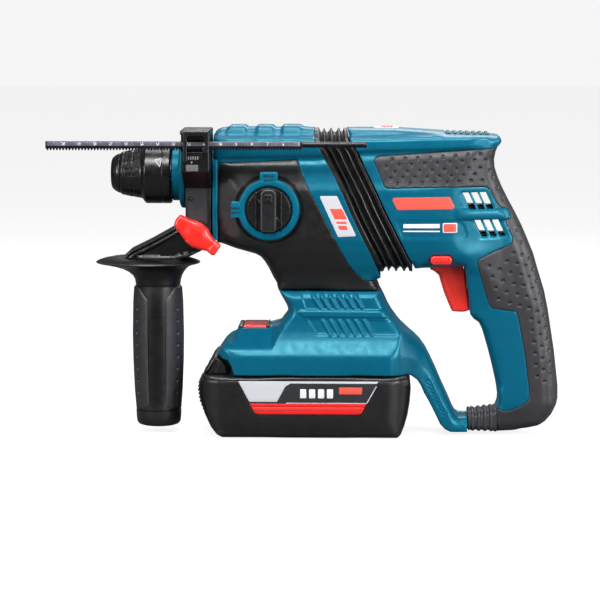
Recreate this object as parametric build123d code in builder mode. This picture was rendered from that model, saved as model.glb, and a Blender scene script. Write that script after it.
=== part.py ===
"""Cordless rotary hammer with an SDS-plus style tool holder, a swivelling side handle with depth
gauge, a damped D-handle and a sliding battery pack.

Millimetres. Origin: centre of the tool holder's mouth, on the spindle axis. +X runs from the tool
holder towards the rear handle, +Z is up, and -Y is the side with the mode selector (the user's
left). Housing shells come in halves that meet near the plane y = 0."""
import os
from math import acos, cos, pi, radians, sin, tan

from build123d import *

os.makedirs("parts", exist_ok=True)
CUT, COMMON = Mode.SUBTRACT, Mode.INTERSECT

# ---------------------------------------------------------------- driving dimensions
reach = 60.0                # half width in y that clears every housing
half_gap = 0.05             # each shell half stops this far from the centre plane
wall = 2.5                  # shell wall of the front housing and the base
rear_wall = 3.6             # shell wall of the rear housing, with the soft cover let in
cover = 1.75                # thickness of the soft cover
post_r, screw_r, head_r = 4.0, 1.5, 2.9

# spindle
tool_bore_r = 5.05          # guide bore of the tool holder for a 10 mm shank
guide_length = 16.0         # plain guide before the drive ribs begin
holder_r = 10.2             # outside of the tool holder under the locking sleeve
tube_r = 14.0               # outside of the hammer tube
tube_bore_r = 10.05         # cylinder bore for piston and striker
tube_end_x = 107.3
ball_x = 22.5               # locking balls
piston_r = 9.98
spindle_bearing_r = 18.0
collar_r = 21.5             # clamping neck for the side handle (43 mm class)
collar_bore_r = spindle_bearing_r + 0.05

# gears and shafts
module = 1.0
pressure_angle = radians(25)
addendum, dedendum = 0.8, 1.1
tooth_thinning = 0.12
spindle_teeth, pinion_teeth = 36, 12
wheel_teeth, motor_teeth = 30, 10
counter_z = -module * (spindle_teeth + pinion_teeth) / 2          # countershaft axis
motor_z = counter_z + module * (wheel_teeth + motor_teeth) / 2    # motor axis
spindle_gear_x0, spindle_gear_x1 = 86, 94
wheel_x0, wheel_x1 = 127, 135
counter_shaft_r, counter_bearing_r = 4.0, 6.5
counter_seat_r = counter_bearing_r + 0.03
counter_shaft_x0, counter_shaft_x1 = 79.6, 144.4
motor_shaft_r, motor_bearing_r = 3.0, 8.0
motor_seat_r = motor_bearing_r + 0.02
small_bearing_width = 4.6
wobble_x = 114.5            # centre of the wobble drive
wobble_half_width = 4.0
hub_r = 9.0                 # spherical wobble hub
wobble_pin_r = 2.5

# side handle
clamp_x0, clamp_x1 = 52.5, 71.5
clamp_r = 26.0              # outside of the clamp's arch
clamp_bore_r = collar_r + 0.07
wing_x, wing_z = 61.5, -42.8
cross_bore_r = 3.1          # bore for the wing bolt
gauge_y0, gauge_y1 = -49.0, -45.0
gauge_z0, gauge_z1 = 20.2, 26.6

# controls and rear pivot
selector_x, selector_z = 114.6, -23.8
selector_face_y = -36.0
selector_bore_r = 6.7
pivot_x, pivot_z = 272.0, -183.0
pivot_pin_r = 3.0

# ---------------------------------------------------------------- measured outlines
# side outline of the barrel: gear housing, bellows and rear housing as one closed form (x, z)
barrel_side = [
    (75.5, -49.5), (75.5, 10), (73.2, 14), (73.2, 29.5), (74.8, 32.3), (78.6, 33.9), (83, 34.3),
    (85.3, 36.2), (95.7, 36.4), (97.9, 34.7), (103.8, 34.7), (106.1, 36.4), (115.7, 36.4),
    (118.7, 34.4), (122.4, 34.4), (124.6, 36.5), (135.7, 36.5), (139.4, 34.8), (144.6, 34.2),
    (171.3, 34.6), (190.6, 34.6), (209, 34.4), (225.4, 33.4), (243.2, 32.2), (244.7, 30.8),
    (275, 29.9), (282.6, 29.2), (284.8, 27.4), (285.6, 25.1), (284.8, 23.3), (282.6, 20.7),
    (281.2, 17.7), (280.1, 11.8), (280.6, 5.8), (282.8, -0.9), (285.9, -8.3), (291.2, -18.8),
    (296.5, -28.5), (301, -37.4), (305.6, -47.9), (310.2, -59.1), (312, -66), (262, -80),
    (258.5, -71), (231.7, -70.1), (222, -69.7), (212, -72), (196.9, -75.7), (193, -77.5),
    (186, -77.5), (120, -77.5), (116.9, -76.2), (113.9, -69.5), (110.9, -64.2), (107.9, -60.4),
    (104.2, -58.2), (99, -56.7), (91.5, -54.5), (84, -52.2)]
# half widths of the barrel and the rear handle by height (half width, z)
barrel_half = [
    (13, 36.6), (17, 33.2), (21, 28.6), (30, 27.2), (30.5, 18.4), (27.5, 15.5), (30.5, 8),
    (34, -4), (36, -11), (36, -46), (33.5, -56), (29.5, -66), (24, -78), (22, -90), (20.5, -100),
    (19.5, -170), (17, -185), (13.5, -192.6)]
# half widths of barrel and handle by length (x, half width)
barrel_plan = [
    (72, 23), (76, 25.5), (80, 27.5), (84, 30.5), (90, 34), (97, 36.5), (235, 36.5), (250, 34.5),
    (262, 31.5), (275, 27), (285, 22.5), (295, 20.8), (315, 20), (323, 18.5), (331, 14.5)]
# side outline of the neck, battery foot and strap (x, z), then its half widths
foot_side = [
    (118, -72), (120.6, -85.3), (125.1, -92.8), (127.4, -97.3), (128.1, -101.1), (127.4, -104.1),
    (125.1, -107.1), (122.1, -109.8), (112.4, -110.2), (91.3, -110.3), (89.8, -114.8),
    (88.3, -120.1), (83.8, -122.4), (79.3, -127), (75.5, -132.3), (78.9, -134.2), (84.2, -136),
    (86.5, -139.5), (88.7, -146.5), (217.6, -146.5), (221.4, -149.4), (224.2, -151.8),
    (226.9, -156.3), (229.1, -161.6), (232.1, -166.8), (235.2, -172.8), (238.2, -178.9),
    (241.2, -185.2), (245, -189.3), (248.8, -191.2), (253.2, -191.5), (261.5, -191.5),
    (261.5, -180.8), (255.2, -180.6), (252.9, -179.4), (250.7, -175.6), (247.6, -168.1),
    (243, -158.2), (238.5, -147.6), (233.9, -137.7), (230.1, -130.2), (226.3, -124.9),
    (221.8, -120.4), (216.6, -116.6), (212.1, -112.9), (209, -109.1), (205.3, -103.8),
    (202.3, -98.6), (199.2, -91.8), (196.2, -85.8), (194.7, -82), (192, -76), (185, -72)]
foot_half = [
    (24, -70), (25, -78), (27, -84), (31, -90), (34, -98), (36.5, -106), (38.5, -116), (40, -125),
    (40, -140), (39, -147), (26, -160), (22.5, -168), (22, -186), (17, -192)]
foot_plan = [
    (74, 28), (76, 33), (80, 37.5), (86, 39.5), (94, 40.5), (204, 40.5), (211, 37), (217, 30.5),
    (222, 26), (228, 23), (234, 22), (250, 21.5), (262, 20)]
# side outline of the rear housing with the grip and its foot (x, z)
rear_side = [
    (171.3, 34.6), (190.6, 34.6), (209, 34.4), (225.4, 33.4), (243.2, 32.2), (244.7, 30.8),
    (275, 29.9), (282.6, 29.2), (284.8, 27.4), (285.6, 25.1), (284.8, 23.3), (282.6, 20.7),
    (281.2, 17.7), (280.1, 11.8), (280.6, 5.8), (282.8, -0.9), (285.9, -8.3), (291.2, -18.8),
    (296.5, -28.5), (301, -37.4), (305.6, -47.9), (310.2, -59.1), (314, -71.8), (318.7, -86.9),
    (321.8, -101.9), (324.2, -117), (326.6, -132.1), (328.3, -147.2), (329.6, -158.6),
    (329.7, -167.7), (328.6, -173), (324.8, -180.3), (320.3, -185.3), (314.1, -188.4),
    (306.4, -190.1), (295.1, -191.3), (283, -192), (283, -173.4), (285.1, -170.2),
    (285.1, -166.4), (283.5, -158), (280.4, -144.4), (277.3, -132.3), (274.2, -121.7),
    (271.9, -114.1), (269.6, -109.6), (262.1, -105.9), (258.9, -102.2), (258.5, -70.9),
    (231.7, -70.1), (222, -69.7), (216.6, -58.1), (210.7, -46.2), (200.3, -25.6),
    (193.7, -10.9), (184.8, 7.1), (179.7, 17.9), (173.7, 26.6)]
# edges that part the skins (x, z): gear housing / front shell, and front shell / bellows
band_front = [
    (135, 12.1), (139.5, 0), (144.7, -11), (153.5, -27.9), (163, -46.2), (171.8, -63),
    (175.5, -68.5), (179.2, -72.5), (186, -77.6)]
band_rear = [
    (146.1, 40), (147.9, 26.6), (152.6, 17.9), (157.7, 8.5), (162.9, -0.8), (168.8, -13.2),
    (174, -25.7), (179.1, -36.7), (185, -48.5), (189.5, -57.4), (193.9, -67.6), (197.4, -80)]
# front and rear edges of the bellows, matched point by point (x, z)
bellows_front_edge = [
    (146.5, 40), (148.3, 26.6), (153, 17.9), (158.1, 8.5), (163.3, -0.8), (169.2, -13.2),
    (174.4, -25.7), (179.5, -36.7), (185.4, -48.5), (189.9, -57.4), (194.3, -67.6), (197.8, -80)]
bellows_rear_edge = [
    (169.9, 40), (172.3, 26.6), (178.3, 17.9), (183.4, 7.1), (188, -2), (193.2, -12.6),
    (198.9, -25.6), (204.9, -37.4), (209.4, -46.6), (215.1, -58.1), (219.6, -67.6), (221.4, -80)]
# upper and lower front edges of the soft cover (x, z)
soft_upper = [
    (191.4, 12.1), (192.9, 14.2), (195.8, 15.3), (225.1, 17.2), (261.8, 19.6), (280, 20.6),
    (300, 21)]
soft_lower = [
    (282.9, -173.1), (284.9, -173.7), (288.4, -175.7), (293.5, -175), (300.8, -172),
    (305.2, -169), (307.4, -165.2), (307.3, -158.3), (305.6, -146.1), (304, -133.3),
    (301.6, -120.6), (299.3, -108.6), (297.7, -101.9), (295.5, -100.4), (288.8, -99.6),
    (278.4, -98), (276.9, -95.8), (275.4, -90.6), (272.3, -80.9), (269.2, -69.6), (268, -64.3),
    (268.4, -61.2), (271.2, -59.6), (280.7, -55.1), (290.4, -51.6), (293.4, -49.5),
    (294.1, -45.8), (290.3, -38.3), (288, -32), (293, -31.3), (292.3, -28.5), (290.6, -24.4),
    (284.2, -22.8), (281.9, -19.7), (276.5, -9.8), (274.3, -7.9), (269.1, -7.3), (239.7, -7.5),
    (201.7, -8.3), (199.5, -7.3)]
# battery pack: side outline (x, z), half widths by height (half width, z) and length (x, half width)
pack_side = [
    (66, -147), (63.4, -150.5), (62.2, -154), (61.6, -160), (62.6, -168.5), (66.2, -178),
    (70.8, -186.5), (75.6, -192.4), (79, -194), (209.5, -194), (212.2, -191.5), (214.6, -186),
    (217, -178), (218.6, -168.5), (219.4, -158), (218.8, -151.8), (216, -147)]
pack_half = [(36.5, -146.9), (39, -149.5), (39.8, -155), (39.8, -182), (38.6, -190), (36, -194.1)]
pack_plan = [
    (61, 26), (64, 32), (70, 37), (78, 39.8), (204, 39.8), (213, 35), (219, 29), (222, 24)]

# screw posts (x, z); the last one of the foot stands in the end of the strap
front_posts = [(90.0, 27.0), (127.5, 27.0), (184.5, -64.0)]
foot_posts = [(138.0, -93.0), (193.0, -98.0), (97.0, -118.0), (243.2, -174.0)]
rear_posts = [
    (214.0, 26.0), (262.0, 22.0), (296.0, -46.0), (303.0, -112.0), (316.0, -160.0),
    (226.0, -62.0)]


# ---------------------------------------------------------------- helpers
def save(piece, name):
    """label a piece and write its file"""
    piece.part.label = name
    export_step(piece.part, f"parts/{name}.step")


def mirrored(half):
    """closed (y, z) outline from half widths listed from the top down"""
    return [(w, z) for w, z in half] + [(-w, z) for w, z in reversed(half)]


def plan(half):
    """closed (x, y) outline from half widths listed along x"""
    return [(x, w) for x, w in half] + [(x, -w) for x, w in reversed(half)]


def slanted(x, top, bottom, width, lean_front, lean_rear):
    """slanting slot (x, z); both lower corners are measured from x"""
    return [(x, top), (x + width, top), (x + lean_rear, bottom), (x + lean_front, bottom)]


def flank(sign, inner, outer):
    """y range between two distances from the centre plane, on the left (-1) or the right (1)"""
    return (-outer, -inner) if sign < 0 else (inner, outer)


def on_circle(count, radius, centre_z=0.0, shift=0.0):
    """(y, z) of evenly spaced points; shift is a share of the pitch"""
    angles = [2 * pi * (k + shift) / count for k in range(count)]
    return [(radius * cos(angle), centre_z + radius * sin(angle)) for angle in angles]


def prism(plane, points, length, mode, grow):
    """outline on a plane carried along its normal, grown or shrunk by grow"""
    with BuildSketch(plane) as outline:
        Polygon(*points, align=None)
        if grow:
            offset(amount=grow, kind=Kind.INTERSECTION)
    extrude(outline.sketch, amount=length, mode=mode)


def prism_x(points, low, high, mode=Mode.ADD, grow=0.0):
    """outline in y and z carried along x from low to high"""
    prism(Plane.YZ.offset(low), points, high - low, mode, grow)


def prism_y(points, low=-reach, high=reach, mode=Mode.ADD, grow=0.0):
    """outline in x and z carried along y from low to high"""
    prism(Plane.XZ.offset(-high), points, high - low, mode, grow)


def prism_z(points, low, high, mode=Mode.ADD, grow=0.0):
    """outline in x and y carried along z from low to high"""
    prism(Plane.XY.offset(low), points, high - low, mode, grow)


def block(x0, x1, y0, y1, z0, z1, mode=Mode.ADD):
    """box between two corners"""
    with Locations(((x0 + x1) / 2, (y0 + y1) / 2, (z0 + z1) / 2)):
        Box(x1 - x0, y1 - y0, z1 - z0, mode=mode)


def rod(plane, centre, radius, length, mode):
    """circle on a plane carried along its normal"""
    with BuildSketch(plane) as disc:
        with Locations(centre):
            Circle(radius)
    extrude(disc.sketch, amount=length, mode=mode)


def rod_x(x0, x1, radius, y=0.0, z=0.0, mode=Mode.ADD):
    """cylinder along x"""
    rod(Plane.YZ.offset(x0), (y, z), radius, x1 - x0, mode)


def rod_y(y0, y1, radius, x=0.0, z=0.0, mode=Mode.ADD):
    """cylinder along y"""
    rod(Plane.XZ.offset(-y1), (x, z), radius, y1 - y0, mode)


def rod_z(z0, z1, radius, x=0.0, y=0.0, mode=Mode.ADD):
    """cylinder along z"""
    rod(Plane.XY.offset(z0), (x, y), radius, z1 - z0, mode)


def turned_x(profile):
    """profile of (x, radius) turned about the spindle axis"""
    with BuildSketch(Plane.XZ) as outline:
        Polygon(*profile, align=None)
    revolve(outline.sketch, axis=Axis((0, 0, 0), (1, 0, 0)))


def turned_z(profile, x):
    """profile of (radius, z) turned about a vertical line at x"""
    with BuildSketch(Plane.XZ) as outline:
        Polygon(*[(x + radius, z) for radius, z in profile], align=None)
    revolve(outline.sketch, axis=Axis((x, 0, 0), (0, 0, 1)))


def bearings(starts, width, outer_r, bore_r, z=0.0):
    """plain rings along x, one from each start"""
    for x in starts:
        rod_x(x, x + width, outer_r, z=z)
        rod_x(x - 1, x + width + 1, bore_r, z=z, mode=CUT)


def gear_outline(teeth, phase_deg, axis_z):
    """(y, z) points of an involute spur gear; a tooth is centred on phase_deg"""
    pitch_r = module * teeth / 2
    base_r = pitch_r * cos(pressure_angle)
    tip_r, root_r = pitch_r + addendum * module, pitch_r - dedendum * module
    half_tooth = (pi * module / 2 - tooth_thinning) / (2 * pitch_r)
    involute = tan(pressure_angle) - pressure_angle
    start_r = max(base_r, root_r)
    side = []
    for i in range(4):
        radius = start_r + (tip_r - start_r) * i / 3
        angle = acos(base_r / radius)
        side.append((radius, half_tooth + involute - (tan(angle) - angle)))
    if root_r < base_r:
        side.insert(0, (root_r, side[0][1]))
    points = []
    for k in range(teeth):
        middle = radians(phase_deg) + 2 * pi * k / teeth
        points += [(radius, middle - angle) for radius, angle in side]
        points += [(radius, middle + angle) for radius, angle in reversed(side)]
    return [(radius * cos(angle), axis_z + radius * sin(angle)) for radius, angle in points]


def spring_x(x0, x1, radius, wire_r, turns):
    """coil spring round the spindle axis"""
    height = x1 - x0 - 2 * wire_r
    with BuildLine() as path:
        Helix(pitch=height / turns, height=height, radius=radius,
              center=(x0 + wire_r, 0, 0), direction=(1, 0, 0))
    with BuildSketch(Plane(origin=path.line @ 0, z_dir=path.line % 0)) as wire_section:
        Circle(wire_r)
    sweep(wire_section.sketch, path=path.line)


# ---------------------------------------------------------------- enclosing forms (not written)
barrel_section = mirrored(barrel_half)
barrel_x_range = (60, 345)


def enclose(side, section_outline, top, x_range, z_range, shrink):
    """body common to a side, a cross and a plan outline, each shrunk"""
    prism_y(side, grow=-shrink)
    prism_x(section_outline, *x_range, mode=COMMON, grow=-shrink)
    prism_z(top, *z_range, mode=COMMON, grow=-shrink)


def barrel_form(side, shrink):
    enclose(side, barrel_section, plan(barrel_plan), barrel_x_range, (-205, 45), shrink)


def foot_form(shrink):
    enclose(foot_side, mirrored(foot_half), plan(foot_plan), (60, 300), (-205, -60), shrink)


def pack_form(shrink):
    enclose(pack_side, mirrored(pack_half), plan(pack_plan), (50, 240), (-200, -140), shrink)


with BuildPart() as barrel_outer:
    barrel_form(barrel_side, 0.0)
with BuildPart() as barrel_inner:
    barrel_form(barrel_side, wall)
with BuildPart() as foot_outer:
    foot_form(0.0)
with BuildPart() as foot_inner:
    foot_form(wall)
    prism_y([(100, -60), (215, -60), (215, -76), (191, -80), (121.8, -80), (100, -70)],
            -40, 40, mode=CUT)
with BuildPart() as neck_opening:
    prism_y([(120.5, -72), (190, -72), (191.5, -80), (193, -86), (194.5, -92), (126, -92),
             (123, -86)], -21.5, 21.5)
with BuildPart() as rear_outer:
    barrel_form(rear_side, 0.0)
with BuildPart() as rear_cover_inner:
    barrel_form(rear_side, cover)
with BuildPart() as rear_shell_outer:
    barrel_form(rear_side, cover + 0.03)
with BuildPart() as rear_inner:
    barrel_form(rear_side, rear_wall)
    # the cavity runs out through the front edge, where the bellows join
    prism_y([(150, 31), (190, 31), (200, 18), (215, -10), (232, -45), (236, -66), (205, -66),
             (160, 0)])
    prism_x(barrel_section, *barrel_x_range, mode=COMMON, grow=-rear_wall)


# ---------------------------------------------------------------- shell halves and their screws
screw_end_y = -10.0
head_y0, head_y1 = 8.2, 10.6


def posts(places, sign):
    """screw posts from the parting plane out past the wall"""
    for x, z in places:
        rod_y(*flank(sign, half_gap, reach), post_r, x, z)


def post_bores(places, sign):
    """screw bores; the right half has the head's counterbore, open to the outside"""
    for x, z in places:
        if sign < 0:
            rod_y(screw_end_y - 0.5, 0, screw_r + 0.05, x, z, mode=CUT)
        else:
            rod_y(0, reach, screw_r + 0.05, x, z, mode=CUT)
            rod_y(head_y0 - 0.2, reach, head_r + 0.1, x, z, mode=CUT)


def screws(places):
    for x, z in places:
        rod_y(screw_end_y, head_y0, screw_r, x, z)
        rod_y(head_y0, head_y1, head_r, x, z)


def keep_half(sign):
    block(40, 345, *flank(sign, half_gap, 80), -220, 60, mode=COMMON)


# regions of the side view (x, z) that each skin takes
front_region = band_front[::-1] + [
    (77.8, 9.8), (77.8, 5), (75.45, 5), (60, 5), (60, 45), (146.1, 45)] + band_rear + [(186, -80)]
gear_region = [(60, 4.9), (75.6, 4.9), (77.9, 4.9), (77.9, 9.7), (134.9, 12.0)] + [
    (x - 0.12, z) for x, z in band_front[1:]] + [(185.9, -85.2), (60, -85.2)]
foot_region = [(60, -85.4), (215, -85.4), (262, -150), (262, -200), (60, -200)]


def front_skin():
    """housing skin in front of the bellows, hollow and open to the neck"""
    add(barrel_outer.part)
    add(barrel_inner.part, mode=CUT)
    prism_y(band_rear + [(340, -80), (340, 40)], mode=CUT)
    add(neck_opening.part, mode=CUT)
    # open rear end behind the motor
    prism_x([(-22, 28), (22, 28), (27.5, 10), (31, -10), (31, -46), (24, -64), (-24, -64),
             (-31, -46), (-31, -10), (-27.5, 10)], 140, 230, mode=CUT)
    # front bore for the clamping neck
    rod_x(70, 79, collar_r + 0.05, mode=CUT)


def front_shell(sign):
    front_skin()
    prism_y(front_region, mode=COMMON)
    posts(front_posts, sign)
    add(barrel_outer.part, mode=COMMON)
    keep_half(sign)
    post_bores(front_posts, sign)


def gear_housing(sign):
    front_skin()
    prism_y(gear_region, mode=COMMON)
    # the neck below the barrel belongs to the gear housing down to the foot's joint line
    with BuildPart(mode=Mode.PRIVATE) as neck:
        add(foot_outer.part)
        add(foot_inner.part, mode=CUT)
        prism_y([(115, -77.4), (185.3, -77.4), (185.8, -77.7), (200, -77.7), (200, -85.2),
                 (115, -85.2)], mode=COMMON)
        add(neck_opening.part, mode=CUT)
    add(neck.part)
    keep_half(sign)
    if sign < 0:
        rod_y(-reach, 0, selector_bore_r, selector_x, selector_z, mode=CUT)


# charge window in the left side of the foot
window_x0, window_x1 = 91.2, 112.4
window_y, window_z = -14.0, -114.0      # inner face and lower edge
window_gap = 0.2

# slideway and the battery rail that hangs in it: narrow stem below, wide head above
stem_half, rail_half = 25.0, 30.0
slide_gap = 0.5


def base_shell(sign):
    add(foot_outer.part)
    add(foot_inner.part, mode=CUT)
    prism_y(foot_region, mode=COMMON)
    add(neck_opening.part, mode=CUT)
    add(barrel_outer.part, mode=CUT)
    posts(foot_posts[:3], sign)
    add(foot_outer.part, mode=COMMON)
    # the strap's end is solid round its screw and carries the tongue for the rear pivot
    tongue_span = flank(sign, half_gap, 6)
    rod_y(*flank(sign, half_gap, 19), post_r, *foot_posts[3])
    block(252, pivot_x, *tongue_span, pivot_z - 5.5, pivot_z + 2.2)
    rod_y(*tongue_span, 5.0, pivot_x, pivot_z)
    keep_half(sign)
    post_bores(foot_posts, sign)
    rod_y(-20, 20, pivot_pin_r + 0.05, pivot_x, pivot_z, mode=CUT)
    # slideway for the battery pack, open at the front and the underside
    stem_slot, rail_slot = stem_half + slide_gap, rail_half + slide_gap
    block(60, 206.5, -stem_slot, stem_slot, -150, -143.9, mode=CUT)
    block(60, 206.5, -rail_slot, rail_slot, -144.0, -136.4, mode=CUT)
    if sign < 0:
        block(window_x0 - window_gap, window_x1 + window_gap, -reach, window_y + window_gap,
              window_z - 0.1, -100, mode=CUT)
    # two rows of louvres on each flank
    for first_x, top, bottom in ((143.5, -90.5, -99), (150.0, -106, -114.5)):
        for k in range(6):
            prism_y(slanted(first_x + 6.0 * k, top, bottom, 2.2, 2.0, 4.2), mode=CUT)


for build_shell, name in (
        (front_shell, "front_shell"), (gear_housing, "gear_housing"), (base_shell, "base_shell")):
    for side_name, side_sign in (("left", -1), ("right", 1)):
        with BuildPart() as half_shell:
            build_shell(side_sign)
        save(half_shell, f"{name}_{side_name}")

with BuildPart() as charge_window:
    add(foot_outer.part)
    block(window_x0, window_x1, -reach, window_y, window_z, -105, mode=COMMON)
save(charge_window, "charge_window")

with BuildPart() as front_housing_screws:
    screws(front_posts + foot_posts)
save(front_housing_screws, "front_housing_screws")

# ---------------------------------------------------------------- rear housing and handle
air_slots = [slanted(x, -10.7, -25, 4.8, 6, 10.8) for x in (255.9, 262.5, 268.9)]
air_slots += [slanted(x, -31, -44.5, 4.8, 6, 10.6) for x in (264.9, 271.6, 278.3)]
cheek_r = 4.9               # fork cheeks round the pivot pin


def cut_air_slots():
    for outline in air_slots:
        prism_y(outline, mode=CUT)


def rear_shell(sign):
    add(rear_outer.part)
    add(rear_inner.part, mode=CUT)
    # step for the soft cover
    with BuildPart(mode=Mode.PRIVATE) as sunk:
        add(rear_outer.part)
        add(rear_shell_outer.part, mode=CUT)
        prism_y(soft_upper + [(345, 21), (345, -205), (282.9, -205)] + soft_lower,
                mode=COMMON, grow=0.05)
    add(sunk.part, mode=CUT)
    with BuildPart(mode=Mode.PRIVATE) as pillars:
        posts(rear_posts, sign)
        add(rear_shell_outer.part, mode=COMMON)
    add(pillars.part)
    # fork cheek for the pivot pin
    cheek_span = flank(sign, 7, 13)
    rod_y(*cheek_span, cheek_r, pivot_x, pivot_z)
    block(pivot_x, 292, *cheek_span, pivot_z - cheek_r, pivot_z + cheek_r)
    keep_half(sign)
    post_bores(rear_posts, sign)
    rod_y(-30, 30, pivot_pin_r, pivot_x, pivot_z, mode=CUT)
    cut_air_slots()
    # opening for the trigger and its travel
    prism_y([(230, -64), (272, -64), (276, -103.5), (250, -103.5), (230, -76)],
            -10.4, 10.4, mode=CUT)
    # guide of the reversing switch
    block(232.4, 249.6, -reach, reach, -64.8, -57.6, mode=CUT)
    # window of the status lens
    block(190.8, 209.4, -5.2, 5.2, 32.0, 40, mode=CUT)
    # top vents
    for k in range(6):
        block(248.5 + 4.6 * k, 250.6 + 4.6 * k, -9, 9, 26, 40, mode=CUT)


for side_name, side_sign in (("left", -1), ("right", 1)):
    with BuildPart() as half_shell:
        rear_shell(side_sign)
    save(half_shell, f"rear_shell_{side_name}")

with BuildPart() as grip_cover:
    add(rear_outer.part)
    add(rear_cover_inner.part, mode=CUT)
    prism_y(soft_upper + [(345, 21), (345, -205), (283.5, -205), (283.5, -173.3)]
            + soft_lower[1:], mode=COMMON)
    cut_air_slots()
    for x, z in rear_posts:
        rod_y(6, reach, head_r + 0.2, x, z, mode=CUT)
    block(270, 290, -14, 14, -189.5, -175.8, mode=CUT)
save(grip_cover, "grip_cover")

with BuildPart() as status_lens:
    block(191, 209.2, -5, 5, 32.1, 34.9)
    fillet(status_lens.edges().filter_by(Axis.Z), radius=1.2)
save(status_lens, "status_lens")

# switch body with a smaller block on top
with BuildPart() as switch_module:
    block(270.5, 291, -8.8, 8.8, -99, -77)
    block(276, 288, -6, 6, -77, -73)
    chamfer(switch_module.edges().filter_by(Axis.Y), length=0.6)
save(switch_module, "switch_module")

with BuildPart() as rear_housing_screws:
    screws(rear_posts)
save(rear_housing_screws, "rear_housing_screws")

with BuildPart() as handle_pivot_pin:
    rod_y(-13.2, 13.2, pivot_pin_r - 0.02, pivot_x, pivot_z)
    chamfer(handle_pivot_pin.edges().filter_by(GeomType.CIRCLE), length=0.5)
save(handle_pivot_pin, "handle_pivot_pin")


def fold_line(share):
    """line (x, z) at a share of the way from the front to the rear edge of the bellows"""
    return [(front[0] + (rear[0] - front[0]) * share, front[1] + (rear[1] - front[1]) * share)
            for front, rear in zip(bellows_front_edge, bellows_rear_edge)]


def bellows_band(front_share, rear_share, shrink):
    """solid slice of the barrel between two fold lines"""
    barrel_form(barrel_side, shrink)
    prism_y(fold_line(front_share) + fold_line(rear_share)[::-1], mode=COMMON)


# rubber bellows between the front and the rear housing: four ridges on a thinner skin
with BuildPart() as bellows:
    with BuildPart(mode=Mode.PRIVATE) as bellows_skin:
        bellows_band(0.0, 1.0, 3.2)
    add(bellows_skin.part)
    for ridge_front, ridge_rear in ((0.0, 0.16), (0.28, 0.44), (0.54, 0.70), (0.80, 1.0)):
        with BuildPart(mode=Mode.PRIVATE) as ridge:
            bellows_band(ridge_front, ridge_rear, 0.3)
        add(ridge.part)
    prism_x([(-20, 27.5), (20, 27.5), (25.5, 10), (28.5, -10), (28.5, -46), (22.5, -63),
             (-22.5, -63), (-28.5, -46), (-28.5, -10), (-25.5, 10)], 130, 240, mode=CUT)
save(bellows, "bellows")

# rubber boot round the lower pivot, with upright grooves in both sides
with BuildPart() as lower_joint_boot:
    prism_y([(262.2, -191.2), (282.6, -191.8), (282.6, -174.2), (278.5, -175.6), (275, -174.6),
             (271.5, -176), (268, -175), (262.2, -178)], -17, 17)
    prism_y([(262, -189.6), (283, -189.9), (283, -176.2), (262, -179.5)], -14.2, 14.2, mode=CUT)
    for x in (266.5, 270.5, 274.5, 278.5):
        for side_sign in (-1, 1):
            block(x, x + 1.8, *flank(side_sign, 16.2, 18), -195, -170, mode=CUT)
save(lower_joint_boot, "lower_joint_boot")

# trigger with a round stub at the rear
with BuildPart() as trigger:
    prism_y([(232.6, -71.3), (236.3, -72.1), (240, -75.4), (241.5, -80.7), (243.8, -88.2),
             (246.8, -95.6), (249.9, -102.2), (258, -102.6), (262.4, -101.8), (262.2, -96),
             (260.4, -85.8), (258.2, -72.4), (256, -67.2), (244.4, -67.2), (236, -68.7)],
            -9.6, 9.6)
    rod_x(258, 263.8, 3.0, z=-88)
    fillet(trigger.edges().filter_by(Axis.Z, reverse=True).group_by(Axis.X)[0], radius=0.4)
save(trigger, "trigger")

# reversing switch, a bar pushed through from either side
switch_bar_half = 34.0
with BuildPart() as reverse_switch:
    with BuildSketch(Plane.XZ.offset(-switch_bar_half)) as pill:
        with Locations((241, -61.2)):
            SlotOverall(16.6, 6.6)
    extrude(pill.sketch, amount=2 * switch_bar_half)
save(reverse_switch, "reverse_switch")

# ---------------------------------------------------------------- clamping neck and spindle
collar_rear_x = 84.6
with BuildPart() as spindle_collar:
    turned_x([
        (41.6, collar_bore_r), (41.6, 19.6), (42.4, 20.3), (47.4, 20.3), (47.4, 24.6),
        (48.4, 25.6), (51.4, 26.0), (52.2, 25.4), (52.2, collar_r), (79.2, collar_r),
        (79.2, 24.0), (collar_rear_x, 24.0), (collar_rear_x, 14.6), (61.4, 14.6),
        (61.4, collar_bore_r)])
    # lug for the countershaft's front bearing
    prism_x([(-11, -12), (11, -12), (11, -30), (7, -34), (-7, -34), (-11, -30)],
            79.2, collar_rear_x)
    rod_x(78, 86, 14.6, mode=CUT)
    rod_x(78, 86, counter_seat_r, z=counter_z, mode=CUT)
save(spindle_collar, "spindle_collar")

relief_r = tool_bore_r + 0.2    # bore behind the plain guide
rib_tip_y = 3.95
with BuildPart() as tool_holder:
    turned_x([
        (0, tool_bore_r), (0, holder_r - 0.8), (0.8, holder_r), (46, holder_r), (46, tube_r),
        (tube_end_x, tube_r), (tube_end_x, tube_bore_r), (58.5, tube_bore_r), (58.5, 8.05),
        (41, 8.05), (41, relief_r), (guide_length, relief_r), (guide_length, tool_bore_r)])
    # two drive ribs in the bore, behind the plain guide
    for side_sign in (-1, 1):
        block(guide_length + 1, 37, *flank(side_sign, rib_tip_y, tool_bore_r + 0.6), -1.2, 1.2)
    # two radial holes for the locking balls
    rod_z(-12, 12, 3.55, x=ball_x, mode=CUT)
save(tool_holder, "tool_holder")

with BuildPart() as locking_balls:
    with Locations((ball_x, 0, 7.3), (ball_x, 0, -7.3)):
        Sphere(3.45)
save(locking_balls, "locking_balls")

cap_bore_r = holder_r + 0.05
with BuildPart() as dust_cap:
    turned_x([
        (-4, 5.7), (-4, 9.8), (-3.2, 11.2), (-1.6, 12.9), (0.6, 14.3), (2.6, 15.0),
        (2.6, cap_bore_r), (-0.1, cap_bore_r), (-0.1, 6.4), (-2.6, 6.4), (-3.4, 5.7)])
save(dust_cap, "dust_cap")

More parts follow.
